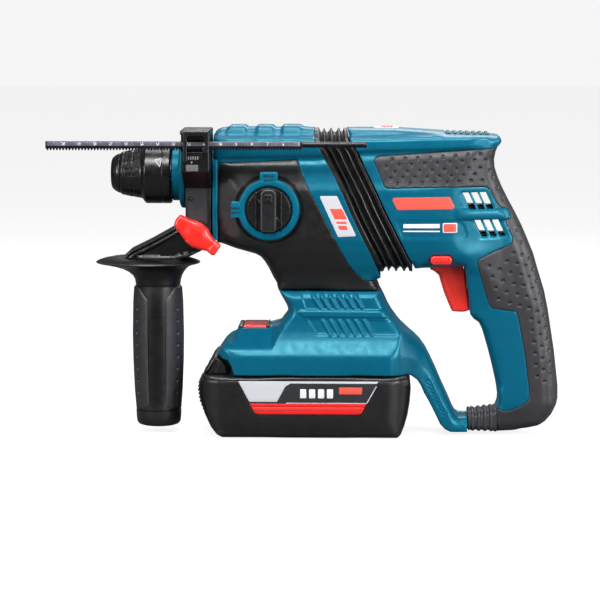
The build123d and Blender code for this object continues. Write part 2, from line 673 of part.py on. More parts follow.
with BuildPart() as locking_sleeve:
    turned_x([
        (2.8, 10.9), (2.8, 15.1), (6.4, 16.6), (12, 17.6), (18.3, 18.5), (19.4, 19.0),
        (21.3, 22.0), (22.0, 22.4), (40.0, 22.4), (41, 21.8), (41, 20.9), (33.5, 20.9),
        (33.5, 14.4), (27, 14.4), (27, 10.9), (19.2, 10.9), (18.6, 12.4), (14.0, 12.4),
        (13.4, 10.9)])
    # finger grooves round the front of the sleeve
    for y, z in on_circle(24, 19.0):
        rod_x(5, 17.5, 1.25, y, z, mode=CUT)
save(locking_sleeve, "locking_sleeve")

with BuildPart() as sleeve_spring:
    spring_x(27.2, 45.8, radius=12.2, wire_r=0.7, turns=5)
save(sleeve_spring, "sleeve_spring")

with BuildPart() as spindle_bearings:
    bearings((54.0, 100.6), 6.8, spindle_bearing_r, tube_r + 0.03)
save(spindle_bearings, "spindle_bearings")

# gear with a plain hub behind it
with BuildPart() as spindle_gear:
    prism_x(gear_outline(spindle_teeth, 0, 0), spindle_gear_x0, spindle_gear_x1)
    rod_x(spindle_gear_x1, 99, 16.4)
    rod_x(80, 105, tube_r + 0.02, mode=CUT)
save(spindle_gear, "spindle_gear")

plate_hole_r, plate_hole_z = 2.1, -36    # screw holes in the gearbox plate and motor flange
with BuildPart() as gearbox_plate:
    prism_x([(-14, 29), (14, 29), (17.2, 24.2), (24.5, 24), (24.5, 10), (29, 0), (31, -12),
             (31, -42), (20, -52), (-20, -52), (-31, -42), (-31, -12), (-29, 0), (-24.5, 10),
             (-24.5, 24), (-17.2, 24.2)], 100.5, 107.5)
    rod_x(99, 109, spindle_bearing_r + 0.02, mode=CUT)
    rod_x(99, 109, counter_shaft_r + 1, z=counter_z, mode=CUT)
    for y in (-24, 24):
        rod_x(99, 109, plate_hole_r, y=y, z=plate_hole_z, mode=CUT)
save(gearbox_plate, "gearbox_plate")

with BuildPart() as motor_flange:
    prism_x([(-15, 21), (15, 21), (24, 15), (26, 2), (29, -12), (29, -42), (20, -50), (-20, -50),
             (-29, -42), (-29, -12), (-26, 2), (-24, 15)], 138, 145)
    rod_x(137, 146, motor_seat_r, z=motor_z, mode=CUT)
    rod_x(137, 146, counter_seat_r, z=counter_z, mode=CUT)
    for y in (-23, 23):
        rod_x(137, 146, plate_hole_r, y=y, z=plate_hole_z, mode=CUT)
        rod_x(137, 146, plate_hole_r, y=y * 0.8, z=8, mode=CUT)
save(motor_flange, "motor_flange")

with BuildPart() as countershaft_bearings:
    bearings((79.7, 139.2), small_bearing_width, counter_bearing_r, counter_shaft_r + 0.03,
             counter_z)
save(countershaft_bearings, "countershaft_bearings")

# shaft with its pinion and the wobble hub, a sphere cut flat at both ends
hub_half = 6.5
with BuildPart() as countershaft:
    rod_x(counter_shaft_x0, counter_shaft_x1, counter_shaft_r, z=counter_z)
    prism_x(gear_outline(pinion_teeth, 15, counter_z),
            spindle_gear_x0 - 0.4, spindle_gear_x1 + 0.4)
    with Locations((wobble_x, 0, counter_z)):
        Sphere(hub_r)
    rod_x(95, wobble_x - hub_half, 12, z=counter_z, mode=CUT)
    rod_x(wobble_x + hub_half, 126, 12, z=counter_z, mode=CUT)
    # the flats also took the shaft away, so it is put back
    rod_x(counter_shaft_x0, counter_shaft_x1, counter_shaft_r, z=counter_z)
save(countershaft, "countershaft")

with BuildPart() as countershaft_gear:
    prism_x(gear_outline(wheel_teeth, 6, counter_z), wheel_x0, wheel_x1)
    rod_x(wheel_x0 - 1, wheel_x1 + 1, counter_shaft_r + 0.02, z=counter_z, mode=CUT)
    for y, z in on_circle(6, 9, counter_z):
        rod_x(wheel_x0 - 1, wheel_x1 + 1, 2.2, y, z, mode=CUT)
save(countershaft_gear, "countershaft_gear")

# ring on the hub with a pin up into the piston
with BuildPart() as wobble_ring:
    rod_x(wobble_x - wobble_half_width, wobble_x + wobble_half_width, 12.8, z=counter_z)
    rod_z(counter_z + 11, 3.2, wobble_pin_r, x=wobble_x)
    with Locations((wobble_x, 0, counter_z)):
        Sphere(hub_r + 0.06, mode=CUT)
save(wobble_ring, "wobble_ring")

pin_slot_x, pin_slot_y = wobble_half_width + 0.1, wobble_pin_r + 0.25
with BuildPart() as piston:
    rod_x(79.6, 104, piston_r)
    block(104, wobble_x + 5.8, -7, 7, -5.8, 5.8)
    rod_x(84.5, 101, 4, mode=CUT)
    rod_x(79, 85, 1.2, mode=CUT)
    block(wobble_x - pin_slot_x, wobble_x + pin_slot_x, -pin_slot_y, pin_slot_y, -7, 7, mode=CUT)
save(piston, "piston")

with BuildPart() as striker:
    turned_x([
        (61, 0), (61, 5.2), (62.5, 5.6), (63, piston_r), (66, piston_r), (66, 8.9), (68, 8.9),
        (68, piston_r), (72, piston_r), (72, 0)])
save(striker, "striker")

with BuildPart() as impact_bolt:
    turned_x([
        (39, 0), (39, 4.4), (39.6, 4.98), (45, 4.98), (46, 7.98), (52, 7.98), (53, 5.4),
        (55.5, 5.2), (55.5, 0)])
save(impact_bolt, "impact_bolt")

# ---------------------------------------------------------------- motor
motor_r = 24.0
stator_x0, stator_x1 = 156, 180
stator_poles = 6
coil_overhang = 3.4
fan_x, fan_disc, fan_blade = 146.0, 1.6, 4.0    # front face, disc thickness, blade depth
fan_blades = 11
# phase leads (x, y)
lead_places = [(170 + abs(y) * 0.2, y) for y in (-8.0, 0.0, 8.0)]


def motor_spoke(radius, k, count, twist=0.0):
    """sketch place round the motor axis, local x pointing outwards plus a twist in degrees"""
    angle = 2 * pi * k / count
    return Location((radius * cos(angle), motor_z + radius * sin(angle), 0),
                    (0, 0, 360.0 * k / count + twist))


# laminated ring with T-shaped teeth and their coils
with BuildPart() as motor_stator:
    rod_x(stator_x0, stator_x1, motor_r, z=motor_z)
    rod_x(stator_x0 - 1, stator_x1 + 1, 20.4, z=motor_z, mode=CUT)
    for k in range(stator_poles):
        with BuildSketch(Plane.YZ.offset(stator_x0)) as tooth:
            with Locations(motor_spoke(17.4, k, stator_poles)):
                Rectangle(6.6, 4.0)
            with Locations(motor_spoke(14.6, k, stator_poles)):
                Rectangle(1.2, 11.0)
        extrude(tooth.sketch, amount=stator_x1 - stator_x0)
    for k in range(stator_poles):
        with BuildSketch(Plane.YZ.offset(stator_x0 - coil_overhang)) as coil:
            with Locations(motor_spoke(17.6, k, stator_poles)):
                Rectangle(4.2, 9.0)
                Rectangle(4.4, 4.3, mode=CUT)
        extrude(coil.sketch, amount=stator_x1 - stator_x0 + 2 * coil_overhang)
save(motor_stator, "motor_stator")

with BuildPart() as motor_rotor:
    rod_x(126.2, 190, motor_shaft_r, z=motor_z)
    rod_x(stator_x0 + 1, stator_x1 - 1, 13.4, z=motor_z)
    prism_x(gear_outline(motor_teeth, 0, motor_z), 126.4, 136.4)
save(motor_rotor, "motor_rotor")

with BuildPart() as motor_fan:
    rod_x(fan_x, fan_x + fan_disc, 21, z=motor_z)
    rod_x(fan_x, fan_x + fan_disc + fan_blade, 6, z=motor_z)
    for k in range(fan_blades):
        with BuildSketch(Plane.YZ.offset(fan_x + fan_disc)) as blade:
            with Locations(motor_spoke(14.5, k, fan_blades, twist=22)):
                Rectangle(11.5, 1.2)
        extrude(blade.sketch, amount=fan_blade)
    rod_x(145, 153, motor_shaft_r + 0.02, z=motor_z, mode=CUT)
save(motor_fan, "motor_fan")

with BuildPart() as motor_bearings:
    bearings((138.8, 185.2), small_bearing_width, motor_bearing_r, motor_shaft_r + 0.03, motor_z)
save(motor_bearings, "motor_bearings")

with BuildPart() as motor_end_cap:
    rod_x(stator_x1 + 0.05, 190.4, motor_r, z=motor_z)
    rod_x(179, 184.6, 22.2, z=motor_z, mode=CUT)
    rod_x(179, 192, motor_seat_r, z=motor_z, mode=CUT)
    for y, z in on_circle(6, 15, motor_z, shift=0.5):
        rod_x(179, 192, 3.4, y, z, mode=CUT)
save(motor_end_cap, "motor_end_cap")

with BuildPart() as motor_leads:
    for x, y in lead_places:
        rod_z(-108, -30.5, 1.3, x=x, y=y)
save(motor_leads, "motor_leads")

# board with two rows of blocks, two round cans and holes for the leads
board_top = -108.6
with BuildPart() as controller_board:
    block(132, 190, -24, 24, board_top - 1.6, board_top)
    for x in (140, 150, 160):
        block(x, x + 7, 6, 16, board_top, board_top + 4)
        block(x, x + 7, -16, -12, board_top, board_top + 4)
    for y in (12, -12):
        rod_z(board_top, -100, 5.0, x=181, y=y)
    for x, y in lead_places:
        rod_z(-112, -100, 1.5, x=x, y=y, mode=CUT)
save(controller_board, "controller_board")

blade_places = (-16.0, -8.0, 8.0, 16.0)     # y of the terminal blades
terminal_base_z = -135.6
with BuildPart() as battery_terminals:
    block(156, 182, -22, 22, terminal_base_z, -124)
    for y in blade_places:
        block(160, 178, y - 0.5, y + 0.5, -141.2, terminal_base_z)
save(battery_terminals, "battery_terminals")

# ---------------------------------------------------------------- mode selector
recess_r, knob_r = 17.4, 16.8
# marking pads on the ring: offset in x and z from the centre, then half sizes
selector_pads = ((0.0, 25.0, 6.3, 5.0), (-25.6, 0.0, 4.6, 5.6))
with BuildPart() as selector_ring:
    rod_y(selector_face_y - 5.0, selector_face_y - 0.05, 22.3, selector_x, selector_z)
    for shift_x, shift_z, half_x, half_z in selector_pads:
        pad_x, pad_z = selector_x + shift_x, selector_z + shift_z
        block(pad_x - half_x, pad_x + half_x, selector_face_y - 4.4, selector_face_y + 5.0,
              pad_z - half_z, pad_z + half_z)
    add(barrel_outer.part, mode=CUT)
    # recess for the knob, with a thin floor bored for its shaft
    rod_y(-reach, -30, recess_r, selector_x, selector_z, mode=CUT)
    rod_y(selector_face_y - 1.5, selector_face_y - 0.05, recess_r, selector_x, selector_z)
    rod_y(-reach, -30, selector_bore_r, selector_x, selector_z, mode=CUT)
save(selector_ring, "selector_ring")

knob_face_y = selector_face_y - 6.5
with BuildPart() as selector_knob:
    rod_y(knob_face_y, selector_face_y - 1.8, knob_r, selector_x, selector_z)
    # finger bar
    block(selector_x - 5.6, selector_x + 5.6, selector_face_y - 13.5, knob_face_y,
          selector_z - 15.5, selector_z + 15.5)
    rod_y(-reach, -30, knob_r, selector_x, selector_z, mode=COMMON)
    fillet(selector_knob.edges().filter_by(Axis.Z).sort_by(Axis.Y)[:2], radius=1.6)
    # shaft, then the pocket of the button
    rod_y(selector_face_y - 2, -27.0, selector_bore_r - 0.2, selector_x, selector_z)
    block(selector_x - 3.4, selector_x + 3.4, -reach, selector_face_y - 9.5,
          selector_z + 5.5, selector_z + 12.5, mode=CUT)
save(selector_knob, "selector_knob")

# disc with an off-centre pin
with BuildPart() as selector_cam:
    rod_y(-26.9, -21.5, 6.2, selector_x, selector_z)
    rod_y(-21.5, -18.5, 1.6, selector_x + 4.2, selector_z)
save(selector_cam, "selector_cam")

with BuildPart() as selector_button:
    block(selector_x - 3.2, selector_x + 3.2, selector_face_y - 14.2, selector_face_y - 11.7,
          selector_z + 5.7, selector_z + 12.3)
    fillet(selector_button.edges().filter_by(Axis.Y), radius=1.0)
save(selector_button, "selector_button")

# ---------------------------------------------------------------- side handle
gauge_gap = 0.2
with BuildPart() as handle_clamp:
    # arch over the neck with two cheeks that run down outside the saddle
    with BuildSketch(Plane.YZ.offset(clamp_x0)) as arch:
        Circle(clamp_r)
        with Locations((0, -24)):
            Rectangle(2 * clamp_r, 48)
        Circle(clamp_bore_r, mode=CUT)
        with Locations((0, -26)):
            Rectangle(43.2, 52, mode=CUT)
    extrude(arch.sketch, amount=clamp_x1 - clamp_x0)
    # channel block for the depth gauge
    prism_x([(-52.2, 4.6), (-52.2, 31.0), (-49, 33.6), (-8, 33.6), (0, 29), (0, 24.5),
             (-13, 22.5), (-22, 14), (-24, 2), (-25.5, -6), (-40, -3)],
            clamp_x0, clamp_x1 + 0.9)
    prism_x([(-52.2, 15.5), (-52.2, 31.0), (-49, 33.6), (-29, 33.6), (-29, 10)],
            clamp_x0 - 2, clamp_x0 + 1)
    rod_x(40, 80, clamp_bore_r, mode=CUT)
    block(40, 80, gauge_y0 - gauge_gap, gauge_y1 + gauge_gap,
          gauge_z0 - gauge_gap, gauge_z1 + gauge_gap, mode=CUT)
    # cross bore for the wing bolt, wider on the right for its nut
    rod_y(-reach, reach, cross_bore_r, wing_x, wing_z, mode=CUT)
    rod_y(20, reach, 6.0, wing_x, wing_z, mode=CUT)
    # recess for the gauge release
    block(53.0, 72.0, -reach, -50.6, 10, 34.6, mode=CUT)
save(handle_clamp, "handle_clamp")

grip_x = 30.0               # axis of the side grip
guard_z = -67.0
with BuildPart() as side_handle_arm:
    # saddle under the neck
    prism_x([(-21.3, -2), (21.3, -2), (21.3, -52), (17, -57), (-17, -57), (-21.3, -52)],
            clamp_x0 + 0.2, clamp_x1 - 0.2)
    rod_x(40, 80, clamp_bore_r, mode=CUT)
    # arm sloping forwards to the hand guard
    prism_y([(43, -39.5), (clamp_x0 + 8, -36), (66, -52), (64, -56.5), (55, -61), (44, -63.5),
             (8, -63.5), (4, -61.5), (10, -57.5), (26, -49)], -14, 14)
    rod_x(40, 80, clamp_bore_r, mode=CUT)
    # oval hand guard with a smaller oval below it
    with BuildSketch(Plane.XY.offset(guard_z)) as guard:
        with Locations((22.7, 0)):
            Ellipse(39.0, 29.0)
    extrude(guard.sketch, amount=4.4)
    with BuildSketch(Plane.XY.offset(guard_z)) as guard_low:
        with Locations((24.5, 0)):
            Ellipse(30.0, 22.0)
    extrude(guard_low.sketch, amount=-3.2)
    # waist and grip core (radius, z)
    turned_z([
        (0, -69), (24, -69.5), (19.5, -73), (17, -79), (17.2, -84), (17.6, -95), (17.8, -130),
        (17.0, -160), (15.9, -177), (15.4, -177.6), (15.4, -185.5), (13.2, -189.2),
        (0, -189.2)], grip_x)
    rod_y(-reach, reach, cross_bore_r, wing_x, wing_z, mode=CUT)
save(side_handle_arm, "side_handle_arm")

# soft pads round the grip, sitting on the core (radius, z)
with BuildPart() as side_grip_pads:
    turned_z([
        (17.24, -84.2), (17.9, -86), (18.7, -96), (19.2, -120), (18.9, -140), (18.0, -162),
        (17.0, -175.5), (16.2, -176.4), (17.03, -160.0), (17.83, -130), (17.64, -95)], grip_x)
    # open lanes on the left and right of the grip
    block(grip_x - 6.5, grip_x + 6.5, -40, 40, -172, -94, mode=CUT)
save(side_grip_pads, "side_grip_pads")

wing_bolt_r = 2.5
with BuildPart() as clamp_nut:
    with BuildSketch(Plane.XZ.offset(-25.4)) as hexagon:
        with Locations((wing_x, wing_z)):
            RegularPolygon(5.0, 6)
    extrude(hexagon.sketch, amount=3.4)
    rod_y(10, 40, wing_bolt_r + 0.05, wing_x, wing_z, mode=CUT)
save(clamp_nut, "clamp_nut")

wing_tilt = 40.0            # degrees
# wing outline about the bolt axis, before tilting
wing_outline = [
    (-21, -5.5), (-21.5, 2), (-19, 6.2), (-12, 5.6), (-6, 7.4), (0, 8.2), (6, 7.4), (12, 5.6),
    (19, 5.8), (21.5, 1), (20.5, -5.8), (12, -5.6), (6, -8), (0, -8.8), (-6, -8), (-12, -5.8)]
with BuildPart() as wing_bolt:
    rod_y(-34, 26.0, wing_bolt_r, wing_x, wing_z)
    rod_y(-36, -26.6, 7.6, wing_x, wing_z)
    with BuildSketch(Plane.XZ.offset(35.0)) as wing:
        with Locations(Location((wing_x, wing_z, 0), (0, 0, -wing_tilt))):
            Polygon(*wing_outline, align=None)
    extrude(wing.sketch, amount=8.0)
    chamfer(wing_bolt.faces().sort_by(Axis.Y)[0].edges(), length=1.6)
save(wing_bolt, "wing_bolt")

# flat bar with teeth along its underside and a round rod behind it
gauge_bar_end = 139.5
with BuildPart() as depth_gauge:
    block(-47.6, gauge_bar_end, gauge_y0, gauge_y1, gauge_z0 + 1.4, gauge_z1)
    for k in range(93):
        x = -47.0 + 2.0 * k
        block(x, x + 1.1, gauge_y0, gauge_y1, gauge_z0, gauge_z0 + 1.5)
    rod_x(gauge_bar_end, 186.3, 2.1, y=(gauge_y0 + gauge_y1) / 2, z=24.4)
save(depth_gauge, "depth_gauge")

# spring clip that frees the gauge when pressed down: top, front leg, rear leg, hook
with BuildPart() as gauge_release:
    block(53.2, 71.8, -54.6, -50.8, 31.8, 34.2)
    block(53.2, 55.6, -54.6, -52.6, 13.0, 33)
    block(69.2, 71.8, -54.6, -52.6, 21.5, 33)
    block(67.2, 69.4, -54.6, -52.6, 19.4, 22.8)
save(gauge_release, "gauge_release")

# ---------------------------------------------------------------- battery pack
pack_joint_z = -150.4       # top of the lower case
with BuildPart() as pack_inner:
    pack_form(2.4)

with BuildPart() as battery_case_lower:
    pack_form(0.0)
    block(50, 240, -50, 50, -200, pack_joint_z, mode=COMMON)
    add(pack_inner.part, mode=CUT)
save(battery_case_lower, "battery_case_lower")

with BuildPart() as battery_case_upper:
    pack_form(0.0)
    block(50, 240, -50, 50, pack_joint_z + 0.05, -140, mode=COMMON)
    add(pack_inner.part, mode=CUT)
    # rail that hangs in the foot's slideway
    block(88, 204, -stem_half, stem_half, -147.2, -142.5)
    block(88, 204, -rail_half, rail_half, -143.4, -137.0)
    # slots for the terminal blades, open at the rear
    for y in blade_places:
        block(157.5, 210, y - 1.0, y + 1.0, -142.0, -136, mode=CUT)
save(battery_case_upper, "battery_case_upper")

cell_pitch = 19.6
with BuildPart() as battery_cells:
    for k in range(5):
        for z in (-180.6, -161.8):
            rod_y(-32.5, 32.5, 9.1, 96 + cell_pitch * k, z)
save(battery_cells, "battery_cells")

# upright board with two blocks on its front face
battery_board_x = 198
with BuildPart() as battery_board:
    block(battery_board_x, battery_board_x + 1.6, -30, 30, -188, -154)
    for side_sign in (-1, 1):
        block(battery_board_x - 4, battery_board_x, *flank(side_sign, 8, 20), -180, -168)
save(battery_board, "battery_board")

# release key at the front of the foot
with BuildPart() as battery_release:
    prism_y([(73.8, -134.2), (70.6, -137.8), (66.4, -145.6), (66.2, -146.9), (84.4, -146.9),
             (82.6, -141), (79.8, -137.6), (76.5, -135.2)], -30, 30)
    prism_z([(64, -24), (67, -29), (72, -30), (90, -30), (90, 30), (72, 30), (67, 29), (64, 24)],
            -150, -130, mode=COMMON)
save(battery_release, "battery_release")
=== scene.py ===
"""Rotary hammer: moulded shells, labels, side handle and battery pack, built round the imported
CAD frame. Lengths are millimetres in the frame of the part: +X runs from the tool holder to
the rear handle, +Z is up and -Y is the left side, with the mode selector."""
import math

import bmesh
import bpy
import numpy as np
from mathutils import Matrix, Vector
from mathutils.geometry import delaunay_2d_cdt


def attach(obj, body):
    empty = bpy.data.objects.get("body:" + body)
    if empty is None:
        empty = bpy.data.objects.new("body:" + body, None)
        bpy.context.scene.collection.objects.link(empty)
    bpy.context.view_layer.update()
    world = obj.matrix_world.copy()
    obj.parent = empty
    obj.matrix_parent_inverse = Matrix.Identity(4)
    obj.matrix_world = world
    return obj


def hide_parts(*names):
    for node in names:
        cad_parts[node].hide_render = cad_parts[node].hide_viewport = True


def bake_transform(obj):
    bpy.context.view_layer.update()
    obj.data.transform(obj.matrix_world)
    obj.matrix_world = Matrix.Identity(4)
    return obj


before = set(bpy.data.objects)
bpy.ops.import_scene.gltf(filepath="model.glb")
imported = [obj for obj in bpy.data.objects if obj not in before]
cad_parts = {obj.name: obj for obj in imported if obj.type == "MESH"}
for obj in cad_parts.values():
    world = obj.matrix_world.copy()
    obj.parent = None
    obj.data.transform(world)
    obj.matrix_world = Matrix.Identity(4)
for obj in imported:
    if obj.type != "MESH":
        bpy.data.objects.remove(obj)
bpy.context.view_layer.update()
MM = 0.001
SIDES = ((-1, "left"), (1, "right"))  # sign of Y, and the word used in names


# ---------------------------------------------------------------- plane geometry
def rows(text):
    """a table of numbers: columns parted by spaces, rows by commas"""
    return [tuple(map(float, row.split())) for row in text.split(",")]


def smooth(low, high, value):
    """0 below low, 1 above high, eased between"""
    t = np.clip((np.asarray(value, float) - low) / (high - low), 0, 1)
    return t * t * (3 - 2 * t)


def soft_min(a, b, width):
    h = np.clip(0.5 + 0.5 * (b - a) / width, 0, 1)
    return b * (1 - h) + a * h - width * h * (1 - h)


def line_distance(points, line, closed=True):
    """distance from each point to a line of straight pieces"""
    line = np.asarray(line, float)
    start, end = (line, np.roll(line, -1, 0)) if closed else (line[:-1], line[1:])
    along = end - start
    square = np.maximum((along * along).sum(1), 1e-12)
    result = np.empty(len(points))
    for i in range(0, len(points), 3000):
        offset = points[i:i + 3000, None, :] - start[None]
        t = np.clip((offset * along).sum(2) / square, 0, 1)
        gap = offset - t[..., None] * along
        result[i:i + 3000] = np.sqrt((gap * gap).sum(2).min(1))
    return result


def inside(points, outline):
    x, y = points[:, 0], points[:, 1]
    hit = np.zeros(len(points), bool)
    for i in range(len(outline)):
        (x0, y0), (x1, y1) = outline[i], outline[(i + 1) % len(outline)]
        if y0 != y1:
            crosses = (y0 > y) != (y1 > y)
            hit ^= crosses & (x < (x1 - x0) * (y - y0) / (y1 - y0) + x0)
    return hit


def signed(points, outline):
    """distance to a closed outline, positive inside"""
    distance = line_distance(points, outline)
    return np.where(inside(points, outline), distance, -distance)


def densify(line, step, closed=True):
    """the line with points added so that none lie further apart than step"""
    line = [np.array(p, float) for p in line]
    result = []
    for i in range(len(line) if closed else len(line) - 1):
        a, b = line[i], line[(i + 1) % len(line)]
        pieces = max(1, int(math.ceil(np.linalg.norm(b - a) / step)))
        result += [a + (b - a) * j / pieces for j in range(pieces)]
    if not closed:
        result.append(line[-1])
    return np.array(result)


def area(outline):
    p = np.asarray(outline, float)
    q = np.roll(p, -1, 0)
    return 0.5 * float((p[:, 0] * q[:, 1] - q[:, 0] * p[:, 1]).sum())


def inset(outline, distance):
    """closed outline moved inwards, with mitred corners"""
    points = np.asarray(outline, float)
    sign = 1.0 if area(points) > 0 else -1.0
    edge = np.roll(points, -1, 0) - points
    length = np.maximum(np.linalg.norm(edge, axis=1), 1e-9)
    normal = np.stack([-edge[:, 1], edge[:, 0]], 1) / length[:, None] * sign
    mitre = normal + np.roll(normal, 1, 0)
    square = np.maximum((mitre * mitre).sum(1), 0.35)
    return points + mitre * (2 * distance / square)[:, None]


def rounded(corners, radius):
    """closed outline with rounded corners; radius is one number or one per corner"""
    corners = [np.array(p, float) for p in corners]
    count = len(corners)
    radii = [radius] * count if np.isscalar(radius) else radius
    outline = []
    for i in range(count):
        corner = corners[i]
        u, v = corners[i - 1] - corner, corners[(i + 1) % count] - corner
        u_length, v_length = np.linalg.norm(u), np.linalg.norm(v)
        if radii[i] <= 0 or u_length < 1e-6 or v_length < 1e-6:
            outline.append(corner)
            continue
        u, v = u / u_length, v / v_length
        angle = math.acos(max(-1, min(1, float(u @ v))))
        if angle > math.radians(176):
            outline.append(corner)
            continue
        reach = min(radii[i] / math.tan(angle / 2), 0.48 * u_length, 0.48 * v_length)
        r = reach * math.tan(angle / 2)
        centre = corner + (u + v) / np.linalg.norm(u + v) * (r / math.sin(angle / 2))
        p, q = corner + u * reach, corner + v * reach
        first = math.atan2(p[1] - centre[1], p[0] - centre[0])
        last = math.atan2(q[1] - centre[1], q[0] - centre[0])
        sweep = (last - first + math.pi) % (2 * math.pi) - math.pi
        pieces = max(2, int(abs(sweep) / 0.22) + 1)
        for j in range(pieces + 1):
            a = first + sweep * j / pieces
            outline.append(centre + r * np.array([math.cos(a), math.sin(a)]))
    return np.array(outline)


def rect(x0, z0, x1, z1, radius=0):
    return rounded([(x0, z0), (x1, z0), (x1, z1), (x0, z1)], radius)


def circle(cx, cz, r, count, start=0.0):
    angles = [start + 2 * math.pi * k / count for k in range(count)]
    return [(cx + r * math.cos(a), cz + r * math.sin(a)) for a in angles]


def blurred(table, sigma, step=0.25):
    """(position, value) knots as a softened lookup"""
    table = sorted(table)
    places = np.arange(table[0][0] - 8, table[-1][0] + 8, step)
    values = np.interp(places, [p for p, _ in table], [v for _, v in table])
    reach = int(4 * sigma / step)
    kernel = np.exp(-0.5 * (np.arange(-reach, reach + 1) * step / sigma) ** 2)
    padded = np.pad(values, len(kernel) // 2, mode="edge")
    return places, np.convolve(padded, kernel / kernel.sum(), mode="valid")


def corner_sizes(text):
    """rows of x, z, edge rounding inwards, rounding across; spread smoothly over the plane"""
    table = np.array(rows(text))

    def sizes(x, z):
        square = (x[:, None] - table[None, :, 0]) ** 2 + (z[:, None] - table[None, :, 1]) ** 2 + 9.0
        weight = square ** -2.2
        weight /= weight.sum(1)[:, None]
        return weight @ table[:, 2], weight @ table[:, 3]
    return sizes


# ---------------------------------------------------------------- solids as (vertices, faces)
def join_parts(parts):
    verts, faces, count = [], [], 0
    for part_verts, part_faces in parts:
        verts.append(np.asarray(part_verts, float))
        faces += [[i + count for i in face] for face in part_faces]
        count += len(part_verts)
    return np.concatenate(verts), faces


def loft(sections, caps=True, ring=False):
    """closed loops with equal numbers of points, joined in order; ring joins last to first"""
    n, total = len(sections[0]), len(sections)
    faces = []
    for k in range(total if ring else total - 1):
        a, b = k * n, (k + 1) % total * n
        for i in range(n):
            j = (i + 1) % n
            faces.append([a + i, a + j, b + j, b + i])
    if caps:
        faces.append(list(range(n))[::-1])
        faces.append([(total - 1) * n + i for i in range(n)])
    return np.concatenate([np.asarray(s, float) for s in sections]), faces


def along_axis(points, axis, place):
    """plane points set at a place along an axis"""
    return np.insert(points, "xyz".index(axis), place, axis=1)


def prism(outline, axis, a, b, r=0.6, round_end=True, seg=4):
    """outline carried along an axis from a to b, its end edges rounded by r"""
    points = np.asarray(outline, float)
    if area(points) < 0:
        points = points[::-1]
    sign = 1.0 if b > a else -1.0
    angles = [math.pi / 2 * k / seg for k in range(seg + 1)]
    start, end = [(points, a)], [(points, b)]
    if r > 0:
        start = [(inset(points, r * (1 - math.sin(t))), a + sign * r * (1 - math.cos(t)))
                 for t in angles]
    if r > 0 and round_end:
        end = [(inset(points, r * (1 - math.cos(t))), b - sign * r * (1 - math.sin(t)))
               for t in angles]
    return loft([along_axis(ring, axis, place) for ring, place in start + end])


def lathe(profile, axis, centre, seg, modulate=None):
    """closed (along, radius) profile turned about a line; modulate gives the radius"""
    profile = np.asarray(profile, float)
    sections = []
    for k in range(seg):
        a = 2 * math.pi * k / seg
        points = []
        for h, r in profile:
            r = modulate(h, r, a) if modulate else r
            points.append((centre[0] + r * math.cos(a), centre[1] + r * math.sin(a)))
        sections.append(along_axis(np.array(points), axis, profile[:, 0]))
    return loft(sections, caps=False, ring=True)


def add(name, parts, material, body=None, cad=None, sharp=50, flat=False, clean=True):
    """one object from parts; it rides on a body and stands in for the CAD node named cad"""
    verts, faces = join_parts(parts)
    mesh = bpy.data.meshes.new(name)
    mesh.from_pydata((verts * MM).tolist(), [], [[int(i) for i in f] for f in faces])
    mesh.update()
    if clean:
        bm = bmesh.new()
        bm.from_mesh(mesh)
        bmesh.ops.remove_doubles(bm, verts=bm.verts, dist=1e-7)
        bmesh.ops.recalc_face_normals(bm, faces=bm.faces)
        bm.to_mesh(mesh)
        bm.free()
    mesh.materials.append(material)
    if not flat:
        mesh.shade_smooth()
        if sharp:
            mesh.set_sharp_from_angle(angle=math.radians(sharp))
    ob = bpy.data.objects.new(name, mesh)
    bpy.context.scene.collection.objects.link(ob)
    if body:
        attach(ob, body)
    if cad:
        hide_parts(cad)
    return ob


def thicken(ob, thickness):
    """wall thickness, laid inwards"""
    modifier = ob.modifiers.new("thickness", "SOLIDIFY")
    modifier.thickness = thickness * MM
    modifier.offset = -1.0


# ---------------------------------------------------------------- relief skins
def hex_grid(step, low, high):
    xs = np.arange(low[0], high[0], step)
    zs = np.arange(low[1], high[1], step * 0.866)
    x, z = np.meshgrid(xs, zs)
    x = x + (np.arange(len(zs)) % 2)[:, None] * step / 2
    return np.stack([x.ravel(), z.ravel()], 1)


def edge_drop(distance, size):
    """quarter-round drop from 0 at size to 1 at the edge"""
    q = np.clip(1 - distance / size, 0, 1)
    return 1 - np.sqrt(np.maximum(1 - q * q, 0))


